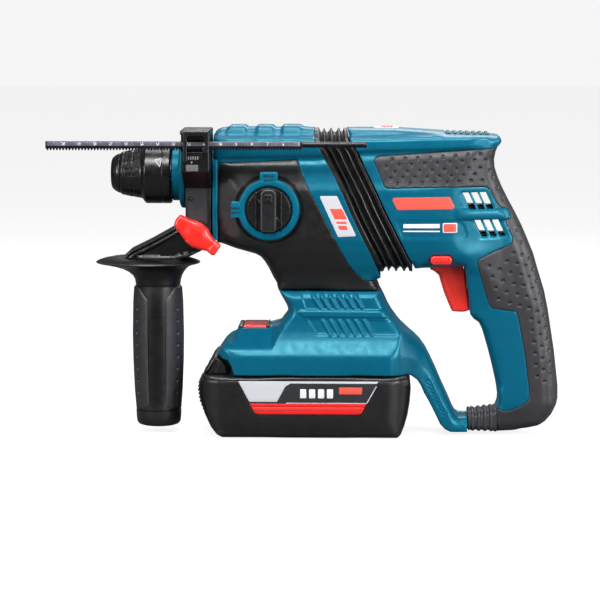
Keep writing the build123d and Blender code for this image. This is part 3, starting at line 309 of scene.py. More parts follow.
def build_skin(half_width, outline, regions=(), cutouts=(), holes=(), pits=(), step=1.5,
               seam=0.4, gap=0.12, fine=(), round_at=None, wall_to=0.0):
    """Half of a moulded shell: a surface at half_width(x, z) inside the outline and every
    region, and outside every cutout. It has rounded seams and a wall along the outline down
    to wall_to; None leaves an open sheet. Returns vertices (x, w, z) and faces towards +w.
    holes: (outline, w its wall reaches); pits: (x, z, radius, depth);
    fine: (outline, grid step); round_at(x, z): edge rounding inwards and across."""
    walled = wall_to is not None
    outline = np.asarray(outline, float)
    regions = [inset(r, gap) for r in regions]
    cutouts = [inset(c, -gap) for c in cutouts]
    pits = np.array(pits).reshape(-1, 4)
    points, edges = [], []

    def clear(p, from_outline, from_seam):
        keep = signed(p, outline) > from_outline
        for r in regions:
            keep &= signed(p, r) > from_seam
        for c in cutouts:
            keep &= -signed(p, c) > from_seam
        for hole, _ in holes:
            keep &= -signed(p, hole) > min(from_seam, 0.3)
        return p[keep]

    def off_pits(p, factor):
        if not len(pits) or not len(p):
            return p
        distance = np.sqrt(((p[:, None, :] - pits[None, :, :2]) ** 2).sum(2)) / pits[:, 2]
        return p[distance.min(1) > factor]

    # lines the triangles must follow
    loops = [densify(line, 1.3) for line in [outline] + regions + cutouts]
    for loop in loops + [densify(hole, 1.0) for hole, _ in holes]:
        base, n = sum(len(p) for p in points), len(loop)
        points.append(loop)
        edges += [(base + i, base + (i + 1) % n) for i in range(n)]

    # grid, finer where asked
    low, high = outline.min(0) - 1, outline.max(0) + 1
    for r in regions:
        low, high = np.maximum(low, r.min(0) - 1), np.minimum(high, r.max(0) + 1)
    margin = 3.4 if walled else 0.8
    grid = clear(hex_grid(step, low, high), margin, 1.0)
    for poly, fine_step in fine:
        grid = grid[~inside(grid, poly)]
        dense = hex_grid(fine_step, np.min(poly, 0), np.max(poly, 0))
        points.append(off_pits(clear(dense[inside(dense, poly)], margin, 0.7), 1.75))
    points.append(off_pits(grid, 1.75))

    # rows of points along the rounded edges, then rings in the pits
    if walled:
        for d in (0.12, 0.45, 1.0, 1.75, 2.7):
            line = densify(inset(outline, d), 1.3 if d < 2 else 1.5)
            points.append(off_pits(clear(line, d * 0.97, seam + 0.25), 1.3))
    for e in (seam * 0.12, seam * 0.45, seam):
        for poly, sign in [(r, 1) for r in regions] + [(c, -1) for c in cutouts]:
            line = densify(inset(poly, e * sign), 1.3)
            points.append(off_pits(clear(line, 0.25, e * 0.95), 1.3))
    for px, pz, r, _ in pits:
        ring = [(px, pz)]
        for f in (0.4, 0.75, 1.0, 1.3):
            ring += circle(px, pz, r * f, 10, 0.3 * f)
        points.append(clear(np.array(ring), 0.3, 0.3))

    # triangles, without those outside the skin
    flat = [Vector((float(a), float(b))) for a, b in np.concatenate([p for p in points if len(p)])]
    result = delaunay_2d_cdt(flat, edges, [], 0, 1e-5, False)
    plane = np.array([(v[0], v[1]) for v in result[0]])
    tris = np.array([list(f) for f in result[2] if len(f) == 3])
    middle = plane[tris].mean(1)
    keep = inside(middle, outline)
    for r in regions:
        keep &= inside(middle, r)
    for poly in cutouts + [hole for hole, _ in holes]:
        keep &= ~inside(middle, poly)
    tris = tris[keep]
    used = np.unique(tris)
    renumber = np.full(len(plane), -1)
    renumber[used] = np.arange(len(used))
    plane, tris = plane[used], renumber[tris]

    # relief
    x, z = plane[:, 0], plane[:, 1]
    w = half_width(x, z)
    to_edge = line_distance(plane, outline)
    if round_at is not None:
        inwards, across = round_at(x, z)
        w = w - np.minimum(across, w) * edge_drop(to_edge, inwards)
    to_seam = np.full(len(plane), 1e9)
    for poly in regions + cutouts:
        to_seam = np.minimum(to_seam, line_distance(plane, poly))
    for hole, _ in holes:
        to_seam = np.minimum(to_seam, line_distance(plane, hole) * (seam / 0.3))
    w = w - seam * edge_drop(to_seam, seam)
    for px, pz, r, depth in pits:
        distance = np.hypot(x - px, z - pz) / r
        near = distance < 1.3
        w[near] -= depth * (1 - smooth(0.25, 1.15, distance[near]))
    w = np.maximum(w, 0.0)

    # turn every triangle to face +w, and find the edges that belong to one only
    a, b, c = plane[tris[:, 0]], plane[tris[:, 1]], plane[tris[:, 2]]
    cross = (b[:, 0] - a[:, 0]) * (c[:, 1] - a[:, 1]) - (b[:, 1] - a[:, 1]) * (c[:, 0] - a[:, 0])
    faces, owners = [], {}
    for t, turn in zip(tris, cross):
        faces.append([t[0], t[2], t[1]] if turn > 0 else list(t))
        for i in range(3):
            a, b = t[i], t[(i + 1) % 3]
            directed = (b, a) if turn > 0 else (a, b)
            owners.setdefault((min(a, b), max(a, b)), []).append(directed)

    # walls along the outline and in the holes
    on_edge = (to_edge < 1e-3) & walled
    hole_of = np.full(len(plane), -1)
    for k, (hole, _) in enumerate(holes):
        hole_of[line_distance(plane, hole) < 1e-3] = k
    wall = wall_to(x, z) if callable(wall_to) else np.full(len(plane), wall_to or 0.0)
    foot = {}

    def below(i, to):
        return foot.setdefault((i, to), len(plane) + len(foot))

    for a, b in [v[0] for v in owners.values() if len(v) == 1]:
        if on_edge[a] and on_edge[b]:
            to = float(max(wall[a], wall[b]))
            if w[a] < to + 0.02 and w[b] < to + 0.02:
                continue
        elif hole_of[a] >= 0 and hole_of[a] == hole_of[b]:
            to = holes[hole_of[a]][1]
        else:
            continue
        faces.append([b, a, below(a, to), below(b, to)])
    lower = np.array([(x[i], to, z[i]) for i, to in foot]).reshape(-1, 3)
    return np.concatenate([np.stack([x, w, z], 1), lower]), faces


def on_side(skin, side, lift=0.0):
    """the skin laid on the +Y or -Y side"""
    verts, faces = skin
    verts = np.stack([verts[:, 0], side * (verts[:, 1] + lift), verts[:, 2]], 1)
    return verts, faces if side > 0 else [f[::-1] for f in faces]


def both(skin):
    return join_parts([on_side(skin, 1), on_side(skin, -1)])


def place_skin(name, skin, side, material, body, cad=None, thick=2.0, lift=0.0):
    shape = on_side(skin, side, lift)
    thicken(add(name, [shape], material, body, cad, sharp=None, clean=False), thick)


def overlay(name, outline, half_width, side, material, body, lift, thick=0.35):
    """thin sheet that lies on a surface"""
    skin = build_skin(half_width, rect(0, -260, 400, 80), [outline], step=2.2, seam=0.12,
                      gap=0.0, wall_to=None)
    place_skin(name, skin, side, material, body, thick=thick, lift=lift)


def screw_holes(centres):
    return [(circle(x, z, 3.1, 20), 8.0) for x, z in centres]


# ---------------------------------------------------------------- materials
def linear(rgb):
    """8-bit sRGB as linear colour"""
    return tuple((c / 255 / 12.92) if c / 255 <= 0.04045 else ((c / 255 + 0.055) / 1.055) ** 2.4
                 for c in rgb) + (1.0,)


def tone(color, gain, lift=0.0):
    return tuple(min(1.0, c * gain + lift) for c in color[:3]) + (1.0,)


class Shader:
    def __init__(self, name):
        self.material = bpy.data.materials.new(name)
        self.material.use_nodes = True
        self.tree = self.material.node_tree
        self.surface = self.tree.nodes["Principled BSDF"]
        self.coord = self.node("ShaderNodeTexCoord").outputs["Object"]

    def feed(self, socket, value):
        if isinstance(value, (int, float, tuple)):
            socket.default_value = value
        else:
            self.tree.links.new(value, socket)

    def node(self, kind, **values):
        node = self.tree.nodes.new(kind)
        for name, value in values.items():
            self.feed(node.inputs[name], value)
        return node

    def noise(self, scale, detail=3.0, rough=0.55, vector=None):
        return self.node("ShaderNodeTexNoise", Scale=scale, Detail=detail, Roughness=rough,
                         Vector=vector or self.coord).outputs["Fac"]

    def remap(self, value, source, target):
        node = self.node("ShaderNodeMapRange", Value=value)
        names = ("From Min", "From Max", "To Min", "To Max")
        for name, number in zip(names, source + target):
            node.inputs[name].default_value = number
        return node.outputs["Result"]

    def mix(self, factor, a, b):
        node = self.tree.nodes.new("ShaderNodeMix")
        node.data_type = "RGBA"
        for index, value in ((0, factor), (6, a), (7, b)):
            self.feed(node.inputs[index], value)
        return node.outputs[2]

    def bump(self, height, distance, strength, normal=None):
        node = self.node("ShaderNodeBump", Strength=strength, Distance=distance, Height=height)
        if normal is not None:
            self.feed(node.inputs["Normal"], normal)
        return node.outputs["Normal"]

    def set(self, name, value):
        self.feed(self.surface.inputs[name], value)


def moulded(name, rgb, rough=0.4, grain=2600.0, depth=0.00003, shade=0.82, edge=None,
            edge_wear_highlight_amount=0.35, specular=0.5, tint=None):
    """moulded plastic or rubber: fine grain, flow marks in tone and gloss, and convex edges
    lightened partly by rubbed wear and partly by painted highlight
    """
    m = Shader(name)
    base = linear(rgb)
    flow = m.remap(m.noise(38.0, detail=4.0, rough=0.6), (0.32, 0.7), (0.0, 1.0))
    color = m.mix(flow, tone(base, shade), base)
    speck = m.remap(m.noise(grain * 0.55, detail=2.0, rough=0.5), (0.42, 0.66), (0.0, 0.22))
    color = m.mix(speck, color, tone(base, 1.35, 0.004))
    if edge is not None:
        # convex edges take the lighter edge colour: partly rubbed wear, partly painted highlight
        # where light catches the rounded edges
        pointiness = m.node("ShaderNodeNewGeometry").outputs["Pointiness"]
        rubbed_and_highlit = m.remap(pointiness, (0.515, 0.585), (0.0, edge_wear_highlight_amount))
        color = m.mix(rubbed_and_highlit, color, linear(edge))
    m.set("Base Color", color)
    m.set("Roughness", m.remap(m.noise(190.0), (0.3, 0.75), (rough - 0.05, rough + 0.09)))
    m.set("Specular IOR Level", specular)
    if tint:
        m.set("Specular Tint", tint + (1.0,))
    waves = m.bump(m.noise(70.0, detail=2.0), distance=0.00004, strength=0.12)
    fine = m.noise(grain, detail=2.0, rough=0.6)
    m.set("Normal", m.bump(fine, distance=depth, strength=0.75, normal=waves))
    return m.material


def metal(name, rgb, rough=0.3, streak=(1.0, 1.0, 1.0), scale=900.0, depth=0.00001, shade=0.8):
    """fine tool marks stretched along one direction, with patchy gloss"""
    m = Shader(name)
    mapping = m.node("ShaderNodeMapping", Scale=streak, Vector=m.coord)
    marks = m.noise(scale, detail=4.0, rough=0.65, vector=mapping.outputs["Vector"])
    base = linear(rgb)
    blend = m.remap(marks, (0.35, 0.65), (0.0, 1.0))
    m.set("Base Color", m.mix(blend, tone(base, shade), base))
    m.set("Metallic", 1.0)
    gloss = (max(0.05, rough - 0.08), rough + 0.12)
    m.set("Roughness", m.remap(m.noise(120.0, detail=4.0), (0.3, 0.7), gloss))
    m.set("Normal", m.bump(marks, distance=depth, strength=0.6))
    return m.material


def lens(name, rgb, rough, transmission):
    """coated, slightly clear plastic with fine waves"""
    m = Shader(name)
    base = linear(rgb)
    mottle = m.remap(m.noise(160.0), (0.3, 0.7), (0.0, 1.0))
    m.set("Base Color", m.mix(mottle, tone(base, 0.8), base))
    m.set("Roughness", m.remap(m.noise(400.0), (0.3, 0.7), (rough, rough + 0.08)))
    m.set("Transmission Weight", transmission)
    m.set("Coat Weight", 0.6)
    wave = m.node("ShaderNodeTexWave", Scale=450.0, Distortion=0.0, Vector=m.coord)
    m.set("Normal", m.bump(wave.outputs["Fac"], distance=0.00004, strength=0.3))
    return m.material


def printed(name, rgb, rough=0.45):
    """printed film: slight ink mottle and a few rubbed spots"""
    m = Shader(name)
    base = linear(rgb)
    ink = m.remap(m.noise(700.0, detail=4.0), (0.35, 0.7), (0.0, 0.12))
    color = m.mix(ink, base, tone(base, 0.7))
    rubbed = m.remap(m.noise(240.0, detail=6.0, rough=0.7), (0.62, 0.8), (0.0, 0.12))
    m.set("Base Color", m.mix(rubbed, color, tone(base, 0.6, 0.12)))
    m.set("Roughness", m.remap(m.noise(300.0), (0.3, 0.7), (rough - 0.05, rough + 0.1)))
    m.set("Normal", m.bump(m.noise(1500.0, detail=2.0), distance=0.00001, strength=0.4))
    return m.material


# the edge colours below are laid on convex edges: partly rubbed wear, partly painted highlight
TEAL_SHEEN = (0.25, 0.88, 1.0)
TEAL = moulded("teal_plastic", (0, 80, 106), rough=0.33, grain=2200, shade=0.9,
               edge=(24, 134, 160), specular=0.6, tint=TEAL_SHEEN)
TEAL_RING = moulded("teal_plastic_ring", (0, 86, 112), rough=0.36, grain=2400, shade=0.92,
                    edge=(30, 140, 168), tint=TEAL_SHEEN)
DARK = moulded("dark_plastic", (18, 18, 19), rough=0.34, grain=2000, depth=0.00004,
               shade=0.72, edge=(84, 85, 88))
# the strong light edge colour here is mostly painted highlight, on the ridges of the selector knob
# and the edges of the gauge clip
DARK_FINE = moulded("dark_plastic_fine", (17, 18, 19), rough=0.27, grain=3000, depth=0.00002,
                    shade=0.75, edge=(120, 121, 126), edge_wear_highlight_amount=0.6)
BLACK = moulded("black_plastic", (7, 7, 8), rough=0.31, shade=0.7, edge=(84, 84, 88),
                edge_wear_highlight_amount=0.45)
RUBBER = moulded("black_rubber", (44, 44, 48), rough=0.42, grain=3200, depth=0.00004,
                 shade=0.78, edge=(100, 100, 106), edge_wear_highlight_amount=0.25, specular=0.45)
# the light edge colour paints highlights on the crests of the folds
BELLOWS = moulded("bellows_rubber", (8, 8, 9), rough=0.36, grain=3000, shade=0.7,
                  edge=(110, 110, 114), edge_wear_highlight_amount=0.5)
# a brighter copy of the red plastic for the trigger: painted light that offsets the shade the
# trigger sits in under the body
RED_LIT_COPY = moulded("red_plastic_lit_copy", (255, 52, 42), rough=0.34, depth=0.00002, shade=0.92,
                    edge=(255, 120, 108))
RED = moulded("red_plastic", (244, 36, 28), rough=0.3, depth=0.00002, shade=0.9,
              edge=(255, 120, 108))
SLEEVE = moulded("sleeve_plastic", (10, 10, 11), rough=0.28, grain=2400, depth=0.00004,
                 shade=0.72, edge=(80, 80, 86), edge_wear_highlight_amount=0.3, specular=0.55)
BOARD = moulded("circuit_board", (18, 84, 48), rough=0.35, grain=900, depth=0.00002, shade=0.8)
CELL = moulded("cell_sleeve", (40, 98, 150), rough=0.3, grain=1200, depth=0.00001, shade=0.85)
WIRE = moulded("wire_insulation", (150, 26, 22), grain=1500, depth=0.00001, shade=0.85)
TEAL_PRINT = moulded("teal_print", (2, 48, 66))
PATCH_GREY = moulded("patch_grey", (92, 92, 96), rough=0.5, grain=1500, depth=0.00006)
LENS_RED = lens("red_lens", (238, 62, 62), rough=0.14, transmission=0.08)
WHITE = printed("white_print", (214, 214, 218))
GREY = printed("grey_print", (186, 187, 192))
RED_PRINT = printed("red_print", (214, 22, 20), rough=0.36)
RED_LIGHT = printed("red_print_light", (246, 40, 34), rough=0.36)
INK = printed("dark_print", (38, 39, 42), rough=0.36)
CORAL = printed("coral_print", (214, 80, 66), rough=0.42)
MARK_GREY = printed("mark_grey", (120, 120, 124))
STEEL = metal("turned_steel", (168, 170, 174), rough=0.28, streak=(1.0, 18.0, 18.0), scale=500)
STEEL_DARK = metal("blackened_steel", (62, 62, 66), rough=0.34, streak=(1.0, 14.0, 14.0),
                   scale=600)
GAUGE = metal("gauge_steel", (150, 147, 164), rough=0.42, streak=(0.4, 12.0, 12.0), shade=0.86)
ALU = metal("cast_aluminium", (176, 178, 182), rough=0.45, scale=1400, depth=0.00003)
COPPER = metal("enamelled_copper", (176, 92, 44), streak=(20.0, 1.0, 1.0), scale=1300,
               depth=0.00003)

# ---------------------------------------------------------------- body surface
# side outlines (x, z)
BODY_SIL = rows("""
    75.5 -49.5, 75.5 10, 73.2 14, 73.2 29.5, 74.8 32.3, 78.6 33.9, 83 34.3, 85.3 36.2, 95.7 36.4,
    97.9 34.7, 103.8 34.7, 106.1 36.4, 115.7 36.4, 118.7 34.4, 122.4 34.4, 124.6 36.5,
    135.7 36.5, 139.4 34.8, 144.6 34.2, 160 34.4, 212 -72, 196.9 -75.7, 192.6 -77.6, 194.6 -82,
    196.2 -86.4, 120.8 -86.4, 119.4 -80, 116.9 -76.2, 113.9 -69.5, 110.9 -64.2, 107.9 -60.4,
    104.2 -58.2, 99 -56.7, 91.5 -54.5, 84 -52.2""")
REAR_SIL = rows("""
    171.3 34.6, 190.6 34.6, 209 34.4, 225.4 33.4, 243.2 32.2, 244.7 30.8, 275 29.9, 282.6 29.2,
    284.8 27.4, 285.6 25.1, 284.8 23.3, 282.6 20.7, 281.2 17.7, 280.1 11.8, 280.6 5.8,
    282.8 -0.9, 285.9 -8.3, 291.2 -18.8, 296.5 -28.5, 301 -37.4, 305.6 -47.9, 310.2 -59.1,
    314 -71.8, 318.7 -86.9, 321.8 -101.9, 324.2 -117, 326.6 -132.1, 328.3 -147.2, 329.6 -158.6,
    329.7 -167.7, 328.6 -173, 324.8 -180.3, 320.3 -185.3, 314.1 -188.4, 306.4 -190.1,
    295.1 -191.3, 283 -192, 283 -175.0, 283.9 -172.8, 284.6 -170.2, 284.8 -166.8, 284.2 -162,
    283.3 -157, 280.4 -144.4, 277.3 -132.3, 274.2 -121.7, 271.9 -114.1, 269.6 -109.6,
    265.8 -107.0, 263.2 -103.4, 261.4 -86.0, 258.4 -66.6, 231.7 -68.5, 222 -68.7, 216.6 -58.1,
    210.7 -46.2, 200.3 -25.6, 193.7 -10.9, 184.8 7.1, 179.7 17.9, 173.7 26.6""")
# edges of the slanting teal band (x, z), and of the bellows behind it
BAND_FRONT = rows("""
    135 12.1, 139.5 0, 144.7 -11, 153.5 -27.9, 163 -46.2, 171.8 -63, 175.5 -68.5,
    179.2 -72.5, 186 -77.6""")
BAND_REAR = rows("""
    146.1 40, 147.9 26.6, 152.6 17.9, 157.7 8.5, 162.9 -0.8, 168.8 -13.2, 174 -25.7,
    179.1 -36.7, 185 -48.5, 189.5 -57.4, 193.9 -67.6, 197.4 -80""")
BAND_GAP = 0.4
FOLD_FRONT = [(x + BAND_GAP, z) for x, z in BAND_REAR]
FOLD_REAR = rows("""
    169.9 40, 172.3 26.6, 178.3 17.9, 183.4 7.1, 188 -2, 193.2 -12.6, 198.9 -25.6,
    204.9 -37.4, 209.4 -46.6, 215.1 -58.1, 219.6 -67.6, 221.4 -80""")

# half width by height (z, half width), and by length (x, half width)
HALF_Z, HALF_V = blurred(rows("""
    42 10, 36.6 13, 33.2 17, 28.6 21.5, 27.2 29.4, 18.4 30.6, 15.5 27.8, 8.5 30.2, -4 33.6,
    -10.8 36.1, -46 36.1, -56 33.5, -66 29.5, -73 26.0, -78 24.6, -90 22.0, -100 20.5,
    -170 19.5, -185 17, -192.6 13.5"""), 0.65)
PLAN_X, PLAN_V = blurred(rows("""
    60 20, 72 24, 76 27, 80 29, 84 31, 90 34, 97 36.6, 105 37.5, 228 37.5, 250 34.5, 262 31,
    275 26, 285 22, 295 20.8, 315 20, 323 18.5, 331 14.5"""), 1.5)


def body_width(x, z):
    """half width of the barrel and the rear handle"""
    # the rail along the flank rises to the rear: heights are shifted back to those of HALF_Z
    top = np.interp(x, [60, 150, 173, 188, 240, 276], [27.2, 27.2, 27.0, 27.4, 28.6, 29.0])
    bottom = np.interp(x, [60, 80, 150, 173, 188, 240, 276, 283],
                       [15.2, 15.2, 16.5, 18.8, 19.6, 21.3, 23.2, 24.0])
    undercut = bottom - np.interp(x, [150, 180], [3.8, 2.8])
    low = np.minimum(np.interp(x, [150, 185, 262], [8.5, 11.5, 15.0]), undercut - 2.5)
    heights = [low, undercut, bottom, top, top + 1.3, np.maximum(top + 2.6, 33.2),
               np.full_like(top, 42)]
    shown = [8.5, 15.5, 18.4, 27.2, 28.6, 33.2, 42]
    lookup = np.where(z <= low, z - (low - 8.5) * np.clip((z + 4) / (low + 4), 0, 1), z)
    for h0, h1, s0, s1 in zip(heights, heights[1:], shown, shown[1:]):
        m = (z > h0) & (z <= h1)
        lookup[m] = s0 + (z[m] - h0[m]) / (h1[m] - h0[m]) * (s1 - s0)
    return soft_min(np.interp(lookup, HALF_Z, HALF_V), np.interp(x, PLAN_X, PLAN_V), 2.0)


# ---------------------------------------------------------------- front shell, gear housing
SELECTOR = (114.6, -23.8)  # axis of the mode selector (x, z)
body_round = corner_sizes("""
    76 34 3 5, 90 36 2.4 3, 110 36 2.4 3, 130 36 2.4 3, 150 34 2.4 3, 74 20 3.0 4, 75 0 3.0 3.5,
    75 -20 3 3.5, 76 -44 5 7, 84 -52 9 13, 99 -57 9 14, 110 -63 9 14, 116 -74 9 13,
    120 -84 7 10, 200 -78 4 6, 196 -84 5 8""")


def front_width(x, z):
    # flutes between the bumps along the top, and the flare towards the foot
    flute = np.interp(
        x, [82, 83.5, 95.7, 98.5, 103.2, 106, 115.7, 118.9, 122.2, 124.8, 135.7, 139.6, 146],
        [0.6, 0, 0, 1, 1, 0, 0, 1, 1, 0, 0, 1, 1])
    w = body_width(x, z) - 1.7 * flute * smooth(21, 31, z)
    return w + 1.2 * smooth(-78, -86, z)


def gear_width(x, z):
    """with a round recess for the selector and a slight step low on the flank"""
    r = np.hypot(x - SELECTOR[0], z - SELECTOR[1])
    w = front_width(x, z) - 1.3 * (1 - smooth(24.2, 25.3, r))
    return w - 0.35 * smooth(-45.2, -46.6, z)


front_region = [(60, 45), (146.1, 45)] + BAND_REAR[1:-1] + [(197.4, -77.5), (60, -77.5)]
gear_region = ([(60, 5), (75.45, 5), (77.8, 5), (77.8, 9.8)] + BAND_FRONT
               + [(186.6, -77.75), (200, -77.75), (200, -85.3), (60, -85.3)])
front_holes = screw_holes([(90, 27), (127.5, 27), (184.5, -64)])
selector_grid = [(circle(*SELECTOR, 27, 30), 1.1)]

for side, tag in SIDES:
    left = side < 0
    skin = build_skin(front_width, BODY_SIL, [front_region], [gear_region],
                      () if left else front_holes, step=1.6, round_at=body_round)
    place_skin(f"front_shell_{tag}_skin", skin, side, TEAL, "main_housing",
               "front_shell_" + tag)
    skin = build_skin(gear_width if left else front_width, BODY_SIL, [gear_region], step=1.6,
                      round_at=body_round, fine=selector_grid if left else ())
    place_skin(f"gear_housing_{tag}_skin", skin, side, DARK, "main_housing",
               "gear_housing_" + tag)

# ---------------------------------------------------------------- foot and strap
FOOT_SIL = rows("""
    120.5 -84.6, 120.6 -85.3, 125.1 -92.8, 127.4 -97.3, 128.1 -101.1, 127.4 -104.1,
    125.1 -107.1, 122.1 -111.0, 114.2 -112.6, 91.6 -112.8, 89.8 -115.8, 88.3 -120.1,
    83.8 -122.4, 79.3 -127, 75.5 -132.3, 78.9 -134.2, 84.2 -136, 86.5 -139.5, 88.7 -146.5,
    217.6 -146.5, 221.4 -149.4, 224.2 -151.8, 226.9 -156.3, 229.1 -161.6, 232.1 -166.8,
    235.2 -172.8, 238.2 -178.9, 241.2 -185.2, 245 -189.3, 248.8 -191.2, 253.2 -191.5,
    261.5 -191.5, 261.5 -180.8, 255.2 -180.6, 252.9 -179.4, 250.7 -175.6, 247.6 -168.1,
    243 -158.2, 238.5 -147.6, 233.9 -137.7, 230.1 -130.2, 226.3 -124.9, 221.8 -120.4,
    216.6 -116.6, 212.1 -112.9, 209 -109.1, 205.3 -103.8, 202.3 -98.6, 199.2 -91.8,
    196.2 -85.8, 195.6 -84.6""")
CREASE = rows("""
    60 -133.6, 82 -133.5, 214.7 -133, 220 -134.6, 224.5 -138.5, 229 -143.6, 232.1 -148.2,
    235.1 -154.2, 238.1 -161, 241.8 -168.5, 245.6 -175.2, 248.6 -181.2, 250.9 -184.6,
    254.6 -186.5, 270 -186.5""")
above_crease = CREASE + [(270, -60), (60, -60)]
# half width by height (z, half width), and by length (x, half width)
FLARE_Z, FLARE_V = blurred(rows("""
    -70 26.4, -85 26.6, -92 27.4, -100 28.2, -108 29.2, -115 30.8, -121 33.4, -127.5 37.2,
    -132.6 40.2, -133.6 40.6, -150 40.6, -200 40.6"""), 0.9)
FOOT_X, FOOT_V = blurred(rows("""
    74 27, 76 31, 80 35.5, 86 39, 94 40.6, 204 40.6, 211 37, 217 30.5, 222 26, 228 23,
    234 22, 250 21.5, 262 20"""), 1.2)
PANEL_UPPER = rounded([(137.5, -87.5), (196.6, -87.5), (202.5, -99.0), (141.5, -98.5)], 1.2)
PANEL_LOWER = rounded([(142.5, -105.6), (204.5, -106.4), (209.5, -117.8), (150.0, -117.2)], 1.2)
FOOT_BAR = rounded([(135.5, -100.2), (137.8, -99.2), (202.0, -99.8), (204.0, -104.6),
                    (139.5, -104.0)], 1.6)
FOOT_RIBS = [[(x0 + 6.15 * k, z0), (x1 + 6.15 * k, z1)]
             for x0, z0, x1, z1 in rows("147 -88.7 152 -97.3, 154 -107 159.5 -116.2")
             for k in range(6)]
STRAP_PAD = rounded([(229.5, -152.6), (233.2, -151.2), (247.2, -178.0), (243.4, -179.8)], 0.8)
foot_round = corner_sizes("""
    122 -88 8 11, 127 -98 8 12, 125 -107 5 8, 112 -110 1.6 2.4, 95 -110 1.6 2.4, 90 -115 3 5,
    84 -122 4 6, 76 -131 4 6, 82 -135 1.2 1.2, 87 -142 1.2 1.2, 100 -146.5 1.0 1.0,
    150 -146.5 1.0 1.0, 210 -146.5 1.0 1.0, 224 -152 2 2.2, 232 -166 2 2.2, 240 -184 2 2.2,
    255 -191 2.2 2.5, 255 -181 2.4 3.0, 247 -167 2.6 3.0, 238 -147 2.8 3.5, 228 -128 3.2 4.5,
    217 -117 4.5 7, 209 -109 6 9, 202 -98 7 11, 197 -88 7 11, 262 -186 0.8 0.8""")


def foot_width(x, z):
    points = np.stack([x, z], 1)
    rise = np.where(inside(points, above_crease), line_distance(points, CREASE, closed=False), 0)
    flare = np.interp(z, FLARE_Z, FLARE_V)
    slope = np.interp(x, [190, 206, 226, 262], [0.0, 0.12, 0.62, 0.75])
    side_face = np.interp(x, FOOT_X, FOOT_V) - slope * np.maximum(rise - 0.3, 0)
    nose = 15.0 + 1.15 * np.maximum(x - 86.0, 0) + 1.25 * np.maximum(-109 - z, 0)
    w = soft_min(soft_min(np.where(x > 212, 60, flare), side_face, 1.5), nose, 2.0)
    front = 17.4 + 1.35 * np.maximum(-112.6 - z, 0) + 1.5 * np.maximum(x - 116.5, 0)
    w = soft_min(w, front, 1.0)
    # sunk panels with ribs, and a raised bar between them
    for panel in (PANEL_UPPER, PANEL_LOWER):
        w = w - 0.7 * smooth(-0.2, 0.7, signed(points, panel))
    w = w + 1.1 * smooth(-0.9, 1.0, signed(points, FOOT_BAR))
    for line in FOOT_RIBS:
        w = w + 1.7 * (1 - smooth(0.6, 1.8, line_distance(points, line, closed=False)))
    # ribbed pad on the strap
    pad = signed(points, STRAP_PAD)
    rib = 0.5 - 0.5 * np.cos((0.45 * x + 0.9 * z) * 2 * np.pi / 2.2)
    w = w - 0.35 * smooth(-0.1, 0.4, pad) + 0.35 * rib * smooth(0.2, 0.7, pad)
    return np.maximum(w, 2.0)


foot_region = rect(60, -85.55, 280, -200)
window_cut = [(90.9, -113.6), (90.9, -105), (113.7, -105), (113.7, -113.6)]
foot_holes = screw_holes([(138, -93), (193, -98), (97, -118), (243.2, -174)])
foot_fine = [([(130, -86.5), (200, -86.5), (213, -119), (140, -119)], 0.8),
             ([(226, -150), (236, -150), (250, -180), (240, -182)], 0.7),
             ([(84, -112), (126, -112), (126, -138), (78, -138)], 1.1)]
for side, tag in SIDES:
    skin = build_skin(foot_width, FOOT_SIL, [foot_region], [window_cut],
                      foot_holes if side > 0 else (), step=1.6, round_at=foot_round,
                      fine=foot_fine)
    place_skin(f"base_shell_{tag}_skin", skin, side, TEAL, "main_housing",
               "base_shell_" + tag)

# charge window: a red lens let into the front of the foot, with dark end pieces
add("charge_window_lens", [prism(rect(94.6, -17.6, 112.2, 17.6, 1.6), "z", -116.5, -112.2, 0.7)],
    LENS_RED, "main_housing", "charge_window")
window_end = rounded([(91.0, -17.8), (94.4, -18.2), (94.4, 18.2), (91.0, 17.8)],
                     [1.8, 0.4, 0.4, 1.8])
add("charge_window_frame",
    [prism(window_end, "z", -116.5, -112.4, 0.6),
     prism(rect(112.4, -18.2, 113.6, 18.2, 0.3), "z", -116.5, -112.0, 0.3)],
    BLACK, "main_housing")

# front rim of the body behind the side handle
rim_z = np.linspace(-47.5, 12.0, 60)
rim = list(zip(front_width(np.full(60, 79.0), rim_z) - 0.6, rim_z))
rim += [(-y, z) for y, z in rim[::-1]]
add("front_shell_nose_rim", [prism(rim, "x", 72.5, 76.6, 1.2)], TEAL, "main_housing")

# ---------------------------------------------------------------- rear housing
PANEL = rounded(rows("""
    206.3 -31.6, 253.8 -31.4, 257.8 -35.0, 260.6 -42.0, 259.6 -45.0, 257.7 -45.4,
    212.6 -45.4"""), 1.4)
FINGER_RIDGE = [(254.5, -27.2), (287.5, -28.0)]
VENT_FRAMES = [rounded([(254.0, -10.9), (275.6, -10.9), (282.0, -24.8), (260.4, -24.8)], 0.8),
               rounded([(263.0, -31.4), (285.0, -31.4), (291.3, -45.2), (269.3, -45.2)], 0.8)]
VENTS = [rounded([(x, top), (x + 4.8, top), (x + slant, low), (x + 6, low)], 0.5)
         for xs, top, low, slant in (((255.9, 262.5, 268.9), -11.4, -24.2, 10.8),
                                     ((264.9, 271.6, 278.3), -31.9, -44.5, 10.6))
         for x in xs]
